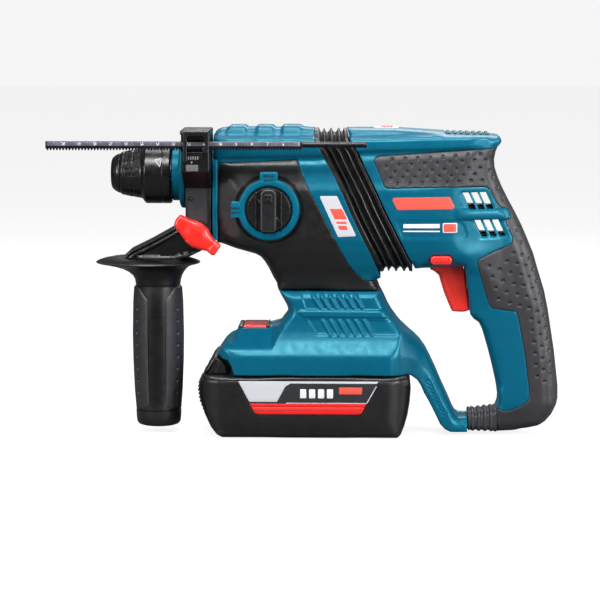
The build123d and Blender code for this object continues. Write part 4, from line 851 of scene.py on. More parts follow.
# soft cover: its upper and lower seams, closed behind the handle
SOFT = rounded(rows("""
    191.4 12.1, 192.9 14.2, 195.8 15.3, 225.1 17.2, 261.8 19.6, 280 20.6, 300 21,
    345 21, 345 -205, 281.5 -205, 281.5 -174.2,
    284.9 -173.7, 288.4 -175.7, 293.5 -175, 300.8 -172, 305.2 -169, 307.4 -165.2,
    307.3 -158.3, 305.6 -146.1, 304 -133.3, 301.6 -120.6, 299.3 -108.6, 297.7 -101.9,
    295.5 -100.4, 288.8 -99.6, 278.4 -98, 276.9 -95.8, 275.4 -90.6, 272.3 -80.9, 269.2 -69.6,
    268 -64.3, 268.4 -61.2, 271.2 -59.6, 280.7 -55.1, 290.4 -51.6, 293.4 -49.5, 294.1 -45.8,
    290.3 -38.3, 288 -32, 293 -31.3, 292.3 -28.5, 290.6 -24.4, 284.2 -22.8, 281.9 -19.7,
    276.5 -9.8, 274.3 -7.9, 269.1 -7.3, 239.7 -7.5, 201.7 -8.3, 199.5 -7.3"""), 1.3)
rear_round = corner_sizes("""
    172 34 2.2 13, 180 34.6 2.2 13, 200 34.5 2.2 13, 225 33.4 2.2 13, 241 32 2.2 14,
    250 30.5 2.0 15, 270 30 2.0 15, 282 29 3.5 14, 285 25 4.5 14, 281.5 18 6 13, 280 10 8 15,
    283 0 10 17, 291 -18 12 18, 305 -48 13 19, 315 -75 14 20, 324 -117 14 19.5,
    329 -158 14 19, 326 -180 12 16, 310 -190 7 10, 290 -192 3.5 5, 284 -178 2.5 3.5,
    284.5 -168 4 5.5, 282 -150 7.5 9.5, 275 -124 7.5 9.5, 268 -109 6 8, 259 -101 3 4.5,
    258.5 -85 2.5 3.5, 258.5 -72 2.5 3.5, 250 -70 5 9, 240 -70 6.5 12, 230 -70 6.5 12,
    222 -69.6 4 8, 216 -58 0.9 0.9, 205 -36 0.9 0.9, 195 -14 0.9 0.9, 185 7 0.9 0.9,
    177 22 0.9 0.9""")
# centres of the dimples (x, z)
DIMPLES_UPPER = rows("""
    204.6 12.5, 214.3 13.0, 223.4 13.3, 232.6 13.7, 242.0 14.4, 251.2 15.1, 260.2 16.0,
    269.1 16.3, 200.3 7.3, 209.5 8.2, 218.8 8.7, 228.3 9.4, 237.7 9.8, 246.9 10.5, 255.8 11.2,
    264.8 12.1, 272.9 12.0, 206.5 3.2, 215.5 3.5, 224.6 4.1, 233.8 4.6, 242.7 5.0, 251.8 5.6,
    260.5 6.2, 269.2 6.2, 276.3 4.0, 278.4 -0.9, 203.5 -1.4, 212.3 -1.0, 221.3 -0.7,
    230.1 -0.4, 239.0 0.2, 247.9 0.5, 256.7 1.1, 265.2 1.6, 208.7 -5.0, 217.7 -5.0,
    226.6 -4.7, 235.6 -4.4, 244.4 -4.2, 253.5 -3.6, 262.4 -3.0, 270.7 -3.1, 282.1 -9.1,
    286.4 -17.4, 297.0 -40.6, 299.9 -49.5""")
DIMPLES_LOWER = rows("""
    276.7 -66.2, 284.4 -69.2, 292.6 -71.7, 300.3 -73.4, 306.4 -75.1, 311.9 -78.6, 279.1 -74.4,
    287.0 -77.6, 295.2 -79.9, 302.4 -81.3, 308.8 -83.8, 314.5 -87.3, 281.7 -82.7, 289.8 -86.1,
    297.8 -87.8, 304.7 -89.5, 311.1 -92.3, 316.4 -96.0, 283.7 -91.1, 292.3 -94.3, 299.9 -96.1,
    306.6 -98.0, 312.8 -101.0, 317.8 -104.6, 294.9 -57.2, 300.8 -58.6, 306.3 -61.4,
    290.0 -63.1, 297.4 -64.9, 303.7 -66.7, 309.4 -69.8, 308.3 -106.3, 314.0 -109.8,
    319.2 -113.3, 309.1 -115.0, 315.2 -118.3, 320.4 -122.0, 310.4 -123.6, 316.2 -127.1,
    321.6 -130.4, 311.3 -132.0, 316.9 -135.8, 322.5 -139.5, 312.2 -140.6, 317.6 -144.4,
    323.0 -148.4, 313.1 -149.1, 318.7 -153.2""")
rear_pits = [(x, z, 1.6, 1.25) for x, z in DIMPLES_UPPER]
rear_pits += [(x, z, 1.5, 1.2) for x, z in DIMPLES_LOWER]


def rear_width(x, z):
    points = np.stack([x, z], 1)
    w = body_width(x, z) - 0.5 * smooth(-0.1, 0.7, signed(points, PANEL))
    ridge = line_distance(points, FINGER_RIDGE, closed=False)
    w = w + 1.9 * np.sqrt(np.maximum(1 - (ridge / 4.4) ** 2, 0)) * smooth(244, 262, x)
    for outline in VENT_FRAMES:
        w = w - 0.55 * smooth(-0.2, 0.8, signed(points, outline))
    # swelling above the trigger
    return w + 1.2 * np.exp(-((x - 262) / 16) ** 2 - ((z + 57) / 7) ** 2)


def cover_width(x, z):
    return rear_width(x, z) + 0.25


def rear_wall(x, z):
    """how far in the outline's wall reaches: the trigger's opening stays free"""
    return np.where((z < -62) & (z > -103.8) & (x > 229) & (x < 266), 10.4, 0.0)


openings = [(o, 0.0) for o in VENTS] + [(rect(232.5, -64.9, 249.5, -57.5, 3.6), 24.0)]
rear_screws = screw_holes([(214.0, 26.0), (262.0, 23.5), (226.0, -62.0)])
COVER_SCREWS = [(296, -46), (303, -112), (316, -160)]
rear_fine = [([(204, -29), (263, -29), (263, -48), (204, -48)], 1.1),
             ([(246, -20), (296, -20), (296, -33), (246, -33)], 1.1)]
cover_halves = []
for side, tag in SIDES:
    right = side > 0
    skin = build_skin(rear_width, REAR_SIL, [], [SOFT], openings + rear_screws * right,
                      step=1.7, round_at=rear_round, wall_to=rear_wall, fine=rear_fine)
    place_skin(f"rear_shell_{tag}_skin", skin, side, TEAL, "rear_handle",
               "rear_shell_" + tag, thick=1.5)
    posts = COVER_SCREWS if right else []
    pits = [p for p in rear_pits
            if all(math.hypot(p[0] - x, p[1] - z) > 5.2 for x, z in posts)]
    skin = build_skin(cover_width, REAR_SIL, [SOFT], [], screw_holes(posts), pits, step=1.7,
                      round_at=rear_round, seam=0.7)
    cover_halves.append(on_side(skin, side))
cover = add("grip_cover_soft", cover_halves, RUBBER, "rear_handle",
            "grip_cover", sharp=None)
thicken(cover, 1.6)

# status light in the top, and the vent grille behind it
add("status_lens_frame", [prism(rect(190.9, -6.5, 209.3, 6.5, 1.4), "z", 33.2, 34.95, 0.3)],
    GREY, "rear_handle", cad="status_lens")
add("status_lens_glow", [prism(rect(196.8, -4.6, 205.0, 4.6, 1.2), "z", 34.0, 35.2, 0.35)],
    LENS_RED, "rear_handle")
bed = rounded([(246.0, 29.3), (246.0, 31.0), (275.8, 30.2), (275.8, 28.5)], 0.3)
add("top_vent_bed", [prism(bed, "y", -13.0, 13.0, 0.4)], BLACK, "rear_handle")
ribs = []
for k in range(7):
    x, drop = 4.75 * k, 0.11 * k
    rib = [(245.0 + x, 29.2), (245.0 + x, 31.75 - drop), (247.5 + x, 31.7 - drop),
           (247.5 + x, 29.1)]
    ribs.append(prism(rounded(rib, 0.4), "y", -13.8, 13.8, 0.6))
add("top_vent_ribs", ribs, TEAL, "rear_handle")

# plain stripe and marks on the flank
stripe = rounded([(204.0, -15.0), (247.0, -14.4), (251.4, -23.4), (208.6, -24.0)], 1.8)
for side, tag in SIDES:
    overlay("flank_stripe_" + tag, stripe, rear_width, side, CORAL, "rear_handle", 0.14)
upper_bar = rounded([(213.0, -34.4), (239.8, -34.2), (239.8, -37.4), (213.0, -37.4)], 0.5)
panel_marks = [(upper_bar, WHITE, 0.10),
               (rect(213.0, -39.2, 239.8, -40.2, 0.3), WHITE, 0.10),
               (rect(241.9, -33.6, 252.6, -40.8, 1.0), WHITE, 0.10),
               (rect(242.5, -34.2, 252.0, -40.2, 0.8), CORAL, 0.17)]
for k, (outline, material, lift) in enumerate(panel_marks):
    for side, tag in SIDES:
        overlay(f"panel_mark_{k}_{tag}", outline, rear_width, side, material, "rear_handle",
                lift, thick=0.2)
band_label = rounded([(151.5, -13.9), (164.4, -13.8), (178.7, -43.3), (165.3, -44.0)], 0.9)
BAND_SLANT = 0.478  # x gained per mm down the label
for side, tag in SIDES:
    overlay("band_label_" + tag, band_label, front_width, side, GREY, "main_housing", 0.14)
    for k, (top, low) in enumerate([(-23.2, -30.8), (-32.6, -34.2), (-35.6, -38.6)]):
        x0, x1 = (153.0 + (-14.5 - z) * BAND_SLANT for z in (top, low))
        end = 11.0 - 1.4 * k
        mark = rounded([(x0 + 2.0, top), (x0 + end, top), (x1 + end, low), (x1 + 2.0, low)], 0.5)
        overlay(f"band_label_mark_{k}_{tag}", mark, front_width, side, CORAL, "main_housing",
                0.26, thick=0.2)

# ---------------------------------------------------------------- bellows and boot
# right half of the section (half width, z)
BELLOWS_HALF = rows("""
    0 34.2, 5 34.1, 10 33.3, 14 31.9, 18.5 30.2, 23.5 27.8, 27.6 24.2, 29.2 19.5, 29.2 14,
    30.6 7, 33.2 -3, 35.2 -11.5, 35.8 -22, 35.9 -34, 35.4 -46, 33.0 -56, 29.0 -64.5,
    23.0 -69.6, 14 -71.9, 0 -72.6""")
# place from front to rear (0 to 1), depth below the section
FOLDS = np.array(rows("""
    0 0.1, 0.11 0.1, 0.135 0.5, 0.165 2.6, 0.215 3.7, 0.25 2.7, 0.275 0.6, 0.3 0.5, 0.335 2.6,
    0.39 3.8, 0.45 2.7, 0.485 0.6, 0.51 0.35, 0.535 0.6, 0.57 2.6, 0.63 3.8, 0.69 2.7,
    0.725 0.6, 0.75 0.35, 0.775 0.6, 0.81 2.7, 0.865 3.4, 0.90 0.8, 0.925 0.3, 1.0 0.3"""))
INNER_DEPTH = 5.2
half = densify(BELLOWS_HALF, 1.9, closed=False)
section = np.concatenate([half, np.stack([-half[::-1, 0], half[::-1, 1]], 1)[1:-1]])
tangent = np.roll(section, -1, 0) - np.roll(section, 1, 0)
tangent /= np.linalg.norm(tangent, axis=1)[:, None]
normal = np.stack([-tangent[:, 1], tangent[:, 0]], 1)
if float((normal[:, 0] * section[:, 0]).sum()) < 0:
    normal = -normal
fold_front, fold_rear = np.array(FOLD_FRONT)[::-1], np.array(FOLD_REAR)[::-1]


def bellows_section(t, depth):
    points = section - normal * depth
    front = np.interp(section[:, 1], fold_front[:, 1], fold_front[:, 0])
    rear = np.interp(section[:, 1], fold_rear[:, 1], fold_rear[:, 0])
    return np.stack([front * (1 - t) + rear * t, points[:, 0], points[:, 1]], 1)


places = np.unique(np.concatenate([np.linspace(0, 1, 90), FOLDS[:, 0]]))
sections = [bellows_section(t, float(np.interp(t, FOLDS[:, 0], FOLDS[:, 1]))) for t in places]
sections += [bellows_section(t, INNER_DEPTH) for t in (1.0, 0.75, 0.5, 0.25, 0.0)]
sections.append(sections[0])
bellows = add("bellows_folds", [loft(sections, caps=False)], BELLOWS, None,
              "bellows", sharp=None)
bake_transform(bellows)

# ribbed boot round the lower joint
BOOT_START, BOOT_LENGTH, BOOT_PITCH = 261.9, 21.5, 4.6
sections = []
for x in np.linspace(BOOT_START, BOOT_START + BOOT_LENGTH, 60):
    t = (x - BOOT_START) / BOOT_LENGTH
    rib = 0.5 - 0.5 * math.cos(2 * math.pi * (x - 263.4) / BOOT_PITCH)
    top, bottom = -176.6 + 1.6 * smooth(0.1, 0.9, t), -191.4 - 0.5 * t
    fade = float(smooth(0.03, 0.12, t) * (1 - smooth(0.86, 0.95, t)))
    groove = 1.25 * (1 - rib) * fade
    end = 1.2 * (1 - float(smooth(0, 0.05, t)))
    y = 16.4 + 0.6 * t - groove - end
    outline = rect(-y, bottom + groove * 0.7 + end, y, top - groove - end, 4.2)
    sections.append(along_axis(outline, "x", x))
boot = add("lower_joint_boot_ribs", [loft(sections)], RUBBER, None,
           "lower_joint_boot", sharp=None)
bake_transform(boot)

# ---------------------------------------------------------------- trigger, reversing switch
TRIGGER = rounded(rows("""
    232.6 -70.6, 236.3 -72.1, 240 -75.4, 241.5 -80.7, 243.8 -88.2, 246.8 -95.6, 249.9 -102.4,
    258 -102.6, 262.6 -101.4, 262.2 -96, 260.8 -85.8, 259.0 -72.4, 256.8 -64.6, 244.4 -64.6,
    236.5 -66.6"""), 1.2)
trigger_round = corner_sizes("""
    234 -70 3 3, 240 -76 4.5 5, 244 -89 5 6.5, 249 -100 5 6, 254 -102.6 2.2 2.5,
    262 -101 1.5 1.5, 261 -88 1.2 1.2, 257 -68 1 1""")
skin = build_skin(lambda x, z: np.full_like(x, 9.5), TRIGGER, step=1.3, round_at=trigger_round)
# the trigger takes the brightened red copy, painted light against its shade
add("trigger_lever", [both(skin)], RED_LIT_COPY, "trigger", "trigger", sharp=None)
add("reverse_switch_bar",
    [prism(rect(233.1, -64.3, 248.9, -58.1, 3.1), "y", -35.4, 35.4, 1.3),
     prism(rect(236.2, -62.6, 245.8, -59.8, 1.4), "y", -36.1, 36.1, 0.5)],
    RED, "reverse_switch", "reverse_switch", sharp=60)

# ---------------------------------------------------------------- tool holder end
# profiles (x, radius)
SLEEVE_PROFILE = rows("""
    2.8 10.9, 2.8 15.0, 4.2 16.0, 5.4 16.3, 5.8 15.9, 6.2 16.4, 12.0 17.6, 12.6 17.2,
    13.2 17.7, 18.3 18.6, 19.4 19.1, 20.0 20.2, 21.3 21.9, 22.3 22.4, 34.0 22.4, 34.5 22.0,
    35.0 22.4, 40.0 22.4, 41.0 21.6, 41 20.9, 33.5 20.9, 33.5 14.4, 27 14.4, 27 10.9""")
CAP_PROFILE = rows("""
    -4 5.7, -4 9.4, -3.4 11.2, -1.6 12.9, 0.6 14.2, 2.5 14.9, 2.7 14.0, 2.7 10.3, -0.1 10.3,
    -0.1 6.4, -2.6 6.4, -3.4 5.7""")
COLLAR_PROFILE = rows("""
    41.6 18.1, 41.6 19.4, 42.4 20.3, 47.2 20.3, 47.4 23.6, 48.4 25.6, 51.4 26.0, 52.2 25.2,
    52.2 21.5, 79.2 21.5, 79.2 18.1""")


def sleeve_radius(h, r, a):
    """grooves on the front cone, and four knurled patches round the wide part"""
    if 7.0 < h < 17.0 and r > 14:
        fade = float(smooth(7.2, 8.4, h) * (1 - smooth(15.2, 16.6, h)))
        return r - 0.16 * float(smooth(0.5, 0.9, abs(math.cos(a * 12)))) * fade
    if 23.0 < h < 32.6 and r > 21:
        patch = float(smooth(0.25, 0.45, math.cos((a - math.radians(200)) * 4)))
        fade = float(smooth(23.2, 24.0, h) * (1 - smooth(31.8, 32.5, h)))
        return r - 0.14 * float(smooth(-0.3, 0.6, math.sin(a * 36))) * patch * fade
    return r


sleeve = lathe(densify(rounded(SLEEVE_PROFILE, 0.5), 1.0), "x", (0, 0), 288, sleeve_radius)
add("locking_sleeve_shell", [sleeve], SLEEVE, "locking_sleeve",
    "locking_sleeve", sharp=70)
add("dust_cap_ring", [lathe(rounded(CAP_PROFILE, 0.6), "x", (0, 0), 96)], SLEEVE, "spindle",
    "dust_cap", sharp=70)

# outlined triangle on the sleeve: three strips bent round it
MARK_OUTER, MARK_INNER, MARK_HALF = 22.52, 22.2, 0.28
mark_corners = [(29.6, 11.2), (34.6, 12.2), (33.4, 6.4)]
strips = []
for k in range(3):
    (xa, za), (xb, zb) = mark_corners[k], mark_corners[(k + 1) % 3]
    length = math.hypot(xb - xa, zb - za)
    dx, dz = -(zb - za) / length * MARK_HALF, (xb - xa) / length * MARK_HALF
    sections = []
    for j in range(9):
        x, z = xa + (xb - xa) * j / 8.0, za + (zb - za) * j / 8.0
        sections.append([(x + s * dx, -math.sqrt(r * r - (z + s * dz) ** 2), z + s * dz)
                         for s, r in ((1, MARK_OUTER), (-1, MARK_OUTER),
                                      (-1, MARK_INNER), (1, MARK_INNER))])
    strips.append(loft(sections))
add("sleeve_arrow_mark", strips, WHITE, "locking_sleeve", flat=True)
add("spindle_collar_ring", [lathe(rounded(COLLAR_PROFILE, 0.4), "x", (0, 0), 128)], TEAL_RING,
    "main_housing", "spindle_collar")

# ---------------------------------------------------------------- mode selector
sx, sz = SELECTOR
# profiles (y, radius)
BEZEL_PROFILE = rows("""
    -34.0 17.3, -40.2 17.3, -41.2 18.2, -41.4 19.4, -41.2 21.6, -40.4 22.4, -34.0 22.4""")
DISC_PROFILE = rows("""
    -33.0 0.01, -42.0 0.01, -42.2 9.0, -41.8 15.4, -40.8 16.6, -37.4 16.8, -33.0 6.4""")
top_tab = rounded([(sx - 6.3, sz + 21), (sx + 6.3, sz + 21), (sx + 6.6, sz + 27.4),
                   (sx - 6.6, sz + 27.4)], [0, 0, 1.2, 1.2])
front_tab = rounded([(sx - 27.8, sz - 5.8), (sx - 21, sz - 5.6), (sx - 21, sz + 5.6),
                     (sx - 27.8, sz + 5.8)], [1.2, 0, 0, 1.2])
tabs = [prism(tab, "y", -41.0, -28.5, 0.7, round_end=False) for tab in (top_tab, front_tab)]
add("selector_ring_bezel", [lathe(rounded(BEZEL_PROFILE, 0.5), "y", SELECTOR, 96)] + tabs,
    TEAL_RING, "main_housing", "selector_ring")
add("selector_ring_bed", [prism(circle(sx, sz, 17.6, 64), "y", -37.2, -34.0, 0.2)], BLACK,
    "main_housing")
icons = []
for x, z in ((sx, sz + 23.6), (sx - 24.0, sz)):
    for shape in (rect(x - 3.6, z + 0.6, x + 1.6, z + 2.2, 0.3),
                  [(x + 2.2, z + 2.6), (x + 2.2, z + 0.2), (x + 4.4, z + 1.4)],
                  rect(x - 3.6, z - 2.4, x + 3.8, z - 1.2, 0.3)):
        icons.append(prism(shape, "y", -41.25, -40.5, 0.1))
add("selector_pictograms", icons, TEAL_PRINT, "main_housing")
handle = rect(sx - 5.7, sz - 15.6, sx + 5.7, sz + 15.6, [2.4, 2.4, 4.5, 4.5])
knob = [lathe(rounded(DISC_PROFILE, 0.4), "y", SELECTOR, 96),
        prism(handle, "y", -49.4, -41.0, 1.2)]
for s in (-1, 1):
    x = sx + s * 8.9
    rib = rect(x - 0.6, sz - 13.2, x + 0.6, sz + 13.2, 0.3)
    knob.append(prism(rib, "y", -44.2, -41.0, 0.5))
for s in (-1, 1):
    x = sx + s * 4.9
    edge = rect(x - 0.55, sz - 14.0, x + 0.55, sz + 13.2, 0.3)
    knob.append(prism(edge, "y", -49.9, -47.0, 0.45))
add("selector_knob_grip", knob, DARK_FINE, "mode_selector", "selector_knob")
arrow = rounded([(sx - 1.8, sz + 7.0), (sx + 1.8, sz + 7.0), (sx, sz + 10.6)], 0.4)
add("selector_button_cap",
    [prism(rect(sx - 3.0, sz + 5.9, sx + 3.0, sz + 12.1, 1.2), "y", -50.5, -46.5, 0.7),
     prism(arrow, "y", -50.75, -50.0, 0.2)],
    BLACK, "selector_button", "selector_button")


# ---------------------------------------------------------------- side handle clamp
def arc(r, start, end, count=40):
    """points about the spindle axis, angles in degrees"""
    angles = [math.radians(start + (end - start) * k / (count - 1)) for k in range(count)]
    return [(r * math.cos(a), r * math.sin(a)) for a in angles]


# sections across the tool (y, z)
arch = (arc(26.0, 180, 0) + [(26.0, -48.0), (21.65, -48.0)]
        + arc(21.65, 0, 180) + [(-21.65, -48.0), (-26.0, -48.0)])
block = rounded(rows("""
    -51.6 4.6, -51.6 19.2, -44.9 19.2, -44.9 27.2, -46.4 27.2, -46.4 31.4, -51.6 31.4,
    -51.6 32.4, -49.6 34.0, -10 34.0, -1 29, -1 24.0, -12 22.0, -20 14.0, -23 4.0,
    -24.8 -8.0, -27.6 -9.0, -40 -1.0"""),
                [1.2, 0.3, 0.3, 0.3, 0.3, 0.3, 0.3, 0.8, 1.2, 3, 2, 1, 3, 3, 3, 1, 2, 3])
edge_rib = rounded([(-26.9, -46), (-26.9, -6.0), (-25.0, -6.0), (-25.0, -46)], 0.5)
top_cap = rounded([(-52.0, 31.6), (-52.0, 33.2), (-50.0, 34.9), (-9.0, 34.9), (-7.0, 33.0),
                   (-7.0, 31.6)], [0.4, 0.8, 1.0, 1.0, 0.8, 0.2])
add("handle_clamp_band",
    [prism(arch, "x", 52.6, 71.5, 0.9), prism(block, "x", 51.4, 71.9, 1.0),
     prism(edge_rib, "x", 68.9, 71.3, 0.5), prism(edge_rib, "x", 52.7, 54.3, 0.5),
     prism(top_cap, "x", 50.6, 72.2, 1.1)],
    BLACK, "side_handle", "handle_clamp")
marks = [rect(54.6 + 1.7 * k, 13.6, 55.5 + 1.7 * k, 16.0, 0.2) for k in range(6)]
marks.append([(58.3, 12.4), (59.9, 12.4), (59.1, 10.2)])
add("clamp_index_marks", [prism(mark, "y", -51.85, -51.2, 0.1) for mark in marks], MARK_GREY,
    "side_handle")
add("clamp_grip_patch", [prism(rect(54.9, 5.2, 63.9, 9.9, 0.4), "y", -52.0, -51.2, 0.2)],
    PATCH_GREY, "side_handle")
RIVET_PROFILE = rows("-27.4 0.01, -27.3 0.9, -26.9 1.35, -25.6 1.4, -25.6 0.01")
add("clamp_rivet", [lathe(RIVET_PROFILE, "y", (56.5, -17.0), 24)], STEEL_DARK, "side_handle")

# ---------------------------------------------------------------- side handle arm and grip
ARM = rounded(rows("""
    43 -39.5, 60.5 -36, 66 -48, 66 -52, 64 -56.5, 55 -61, 44 -64.2, 8 -64.8, 4 -62.5,
    10 -57.0, 26 -49"""), [3, 2, 2, 2, 2, 3, 3, 1, 1, 4, 4])
ARM_UPPER_EDGE = [(43, -39.5), (26, -49), (10, -57.0), (4, -62.5)]
ARM_LOWER_EDGE = [(8, -64.8), (44, -64.2), (56, -61), (64.5, -56)]
# z, half size along x, half size along y, centre x
GRIP_LEVELS = rows("""
    -61.4 8 6 22.7, -61.7 18 13 22.7, -62.5 27 20 22.7, -63.7 33.2 24.6 22.7,
    -65.1 37.2 27.6 22.7, -65.9 38.7 28.7 22.7, -66.5 39.1 29.0 22.7, -67.1 38.6 28.7 22.7,
    -67.6 37.0 27.6 22.8, -68.4 33.0 25.2 23.4, -69.6 28.4 22.6 25.0, -71.4 24.2 20.6 27.2,
    -73.8 20.8 18.9 28.8, -76.6 18.4 17.7 29.7, -79.6 17.2 17.2 30.0, -82.0 16.9 16.9 30,
    -82.6 16.9 16.9 30, -83.0 16.5 16.5 30, -83.6 16.5 16.5 30, -84.0 17.2 17.2 30,
    -95 17.6 17.6 30, -112 17.8 17.8 30, -130 17.8 17.8 30, -146 17.5 17.5 30,
    -160 17.0 17.0 30, -172 17.0 17.0 30, -176.6 17.0 17.0 30, -177.0 16.5 16.5 30,
    -177.5 16.5 16.5 30, -177.9 17.0 17.0 30, -183.0 16.8 16.8 30, -186.4 16.4 16.4 30,
    -187.6 15.8 15.8 30, -188.6 14.8 14.8 30, -189.2 13.0 13.0 30, -189.3 7.0 7.0 30""")


def arm_width(x, z):
    """flat arm, sunk between its raised edges, with a groove along the upper one"""
    points = np.stack([x, z], 1)
    d = line_distance(points, ARM_UPPER_EDGE, closed=False)
    w = 14.0 - 1.8 * smooth(5.2, 6.0, d) - 1.2 * (smooth(1.7, 2.1, d) * (1 - smooth(3.0, 3.4, d)))
    d = line_distance(points, ARM_LOWER_EDGE, closed=False)
    return np.maximum(w, 14.0 - 1.8 * smooth(2.6, 3.4, d))


skin = build_skin(arm_width, ARM, step=1.3,
                  round_at=lambda x, z: (np.full_like(x, 1.2), np.full_like(x, 1.4)))
saddle = [(-21.3, -6), (-21.3, -50), (-17, -56), (17, -56), (21.3, -50), (21.3, -6)]
saddle = rounded(saddle + arc(21.6, -16, -164), [0.3, 3, 4, 4, 3, 0.3] + [0] * 40)
turns = [2 * math.pi * k / 120 for k in range(120)]
grip = [[(cx + a * math.cos(t), b * math.sin(t), z) for t in turns] for z, a, b, cx in GRIP_LEVELS]
add("side_handle_arm_body", [both(skin), prism(saddle, "x", 52.8, 71.2, 0.8), loft(grip)],
    BLACK, "side_handle", "side_handle_arm", sharp=48)

# soft pads: dimpled panels (distance round the grip, z) bent round it
GRIP_X = 30
PAD_Z = [-180, -176, -162, -140, -120, -96, -86, -80]
PAD_R = [16.5, 17.0, 18.1, 19.0, 19.3, 18.8, 18.1, 17.6]
PAD_ROUND = 18.5  # radius at which the panel is laid out
u0, u1 = 6.9, math.pi * PAD_ROUND - 6.9
pad = rounded([(u0, -173.0), (u0 + 5.5, -176.0), (u1 - 5.5, -176.0), (u1, -173.0),
               (u1, -93.5), (u1 - 9, -84.6), (u0 + 9, -84.6), (u0, -93.5)], 3.0)
pits = [(math.radians(angle) * PAD_ROUND, -100.6 - 9.0 * k, 1.5, 1.15)
        for angle in (53, 90, 127) for k in range(8)]
verts, faces = build_skin(lambda u, z: np.interp(z, PAD_Z, PAD_R), rect(-20, -220, 120, 0),
                          [pad], pits=pits, seam=0.9, gap=0.0, wall_to=None)
bend = verts[:, 0] / PAD_ROUND
for side, tag in ((-1, "front"), (1, "rear")):
    bent = np.stack([GRIP_X + side * verts[:, 1] * np.sin(bend),
                     -verts[:, 1] * np.cos(bend), verts[:, 2]], 1)
    ob = add("side_grip_pad_" + tag, [(bent, faces)], RUBBER, "side_handle",
             "side_grip_pads", sharp=None, clean=False)
    probe = ob.data.polygons[len(faces) // 2]
    outwards = probe.center - Vector((GRIP_X * MM, 0, probe.center.z))
    if probe.normal.dot(outwards) < 0:
        ob.data.flip_normals()
    thicken(ob, 1.3)

# ---------------------------------------------------------------- wing bolt
BOLT_AXIS = (61.5, -42.8)
WING = rounded(rows("""
    45.2 -34.3, 46.7 -30.6, 49.6 -27.3, 54.0 -29.1, 56.9 -30.6, 62.1 -32.0, 66.4 -34.2,
    70.1 -37.9, 72.3 -42.3, 74.5 -45.6, 78.1 -48.2, 79.6 -50.4, 77.4 -53.3, 75.1 -57.0,
    72.9 -57.0, 69.3 -54.1, 64.2 -53.0, 58.3 -51.2, 53.9 -47.5, 50.3 -42.4, 47.3 -38.7"""), 1.4)
# profiles (y, radius)
BOSS_PROFILE = rows("-26.8 0.01, -37.5 0.01, -37.5 6.4, -33.0 7.6, -26.8 7.6")
SEAT_PROFILE = rows("-26.1 7.9, -26.1 9.9, -28.2 9.9, -28.8 9.3, -28.8 7.9")
SHANK_PROFILE = rows("-30 0.01, -30 2.45, 25.9 2.45, 26.2 2.0, 26.2 0.01")


def wing_width(x, z):
    # swelling over the screw with a dip in it, thicker lobes at the tips
    u = (x - 61.8) * 0.76 + (z + 42.6) * -0.65
    v = (x - 61.8) * 0.65 + (z + 42.6) * 0.76
    w = 3.0 + 3.6 * np.exp(-(u / 8.0) ** 2 - (v / 6.0) ** 2)
    return w - 1.5 * np.exp(-(u / 4.6) ** 2 - (v / 3.2) ** 2) + 1.2 * smooth(12, 15, np.abs(u))


verts, faces = both(build_skin(wing_width, WING, step=1.0, round_at=lambda x, z: (
    np.full_like(x, 2.6), np.full_like(x, 2.4))))
verts[:, 1] -= 40.2
add("wing_bolt_knob", [(verts, faces), lathe(rounded(BOSS_PROFILE, 0.4), "y", BOLT_AXIS, 48)],
    RED, "wing_bolt", "wing_bolt", sharp=60)
add("wing_bolt_seat", [lathe(rounded(SEAT_PROFILE, 0.3), "y", BOLT_AXIS, 64)], BLACK,
    "side_handle")
add("wing_bolt_shank", [lathe(rounded(SHANK_PROFILE, 0.2), "y", BOLT_AXIS, 32)], STEEL_DARK,
    "wing_bolt")

# ---------------------------------------------------------------- depth gauge
TOOTH_PITCH = 2.3
TICK_PITCH = 5.72
strip = [(-47.6, 26.6), (-47.6, 21.5)]
for x in np.arange(-46.9, 138.2, TOOTH_PITCH):
    strip += [(x, 21.5), (x + 0.35, 20.2), (x + 0.95, 20.2), (x + 1.35, 21.5)]
strip += [(139.5, 21.5), (139.5, 25.4), (138.6, 26.6)]
TAIL_PROFILE = rows("138.8 0.01, 138.8 1.8, 140.6 2.1, 185.6 2.1, 186.3 1.5, 186.3 0.01")
add("depth_gauge_strip", [prism(strip, "y", -49.0, -45.0, 0.22, seg=2),
                          lathe(rounded(TAIL_PROFILE, 0.25), "x", (-47, 24.4), 40)],
    STEEL_DARK, "depth_gauge", "depth_gauge", sharp=40)
add("depth_gauge_face", [prism(rect(-46.6, 23.4, 137.6, 26.35, 0.3), "y", -49.35, -48.8, 0.12)],
    GAUGE, "depth_gauge")
ticks = []
for k in range(1, 31, 2):
    x = -40.2 + TICK_PITCH * k
    ticks.append(prism(rect(x - 0.16, 23.8, x + 0.16, 25.0), "y", -49.5, -49.2, 0))
add("depth_gauge_ticks", ticks, WHITE, "depth_gauge", flat=True)


def gauge_number(number, x):
    curve = bpy.data.curves.new("gauge_number", "FONT")
    curve.body = str(number)
    curve.size = 2.9 * MM
    curve.extrude = 0.06 * MM
    curve.align_x, curve.align_y = "CENTER", "CENTER"
    text = bpy.data.objects.new("tmp_number", curve)
    bpy.context.scene.collection.objects.link(text)
    bpy.context.view_layer.update()
    evaluated = text.evaluated_get(bpy.context.evaluated_depsgraph_get())
    mesh = bpy.data.meshes.new_from_object(evaluated)
    bpy.data.objects.remove(text)
    mesh.transform(Matrix.Translation(Vector((x, -49.42, 24.9)) * MM)
                   @ Matrix.Rotation(math.pi / 2, 4, "X"))
    mesh.materials.clear()
    mesh.materials.append(WHITE)
    ob = bpy.data.objects.new("depth_gauge_number_%02d" % number, mesh)
    bpy.context.scene.collection.objects.link(ob)
    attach(ob, "depth_gauge")


for k in range(16):
    gauge_number(20 - k, -34.5 + 2 * TICK_PITCH * k)

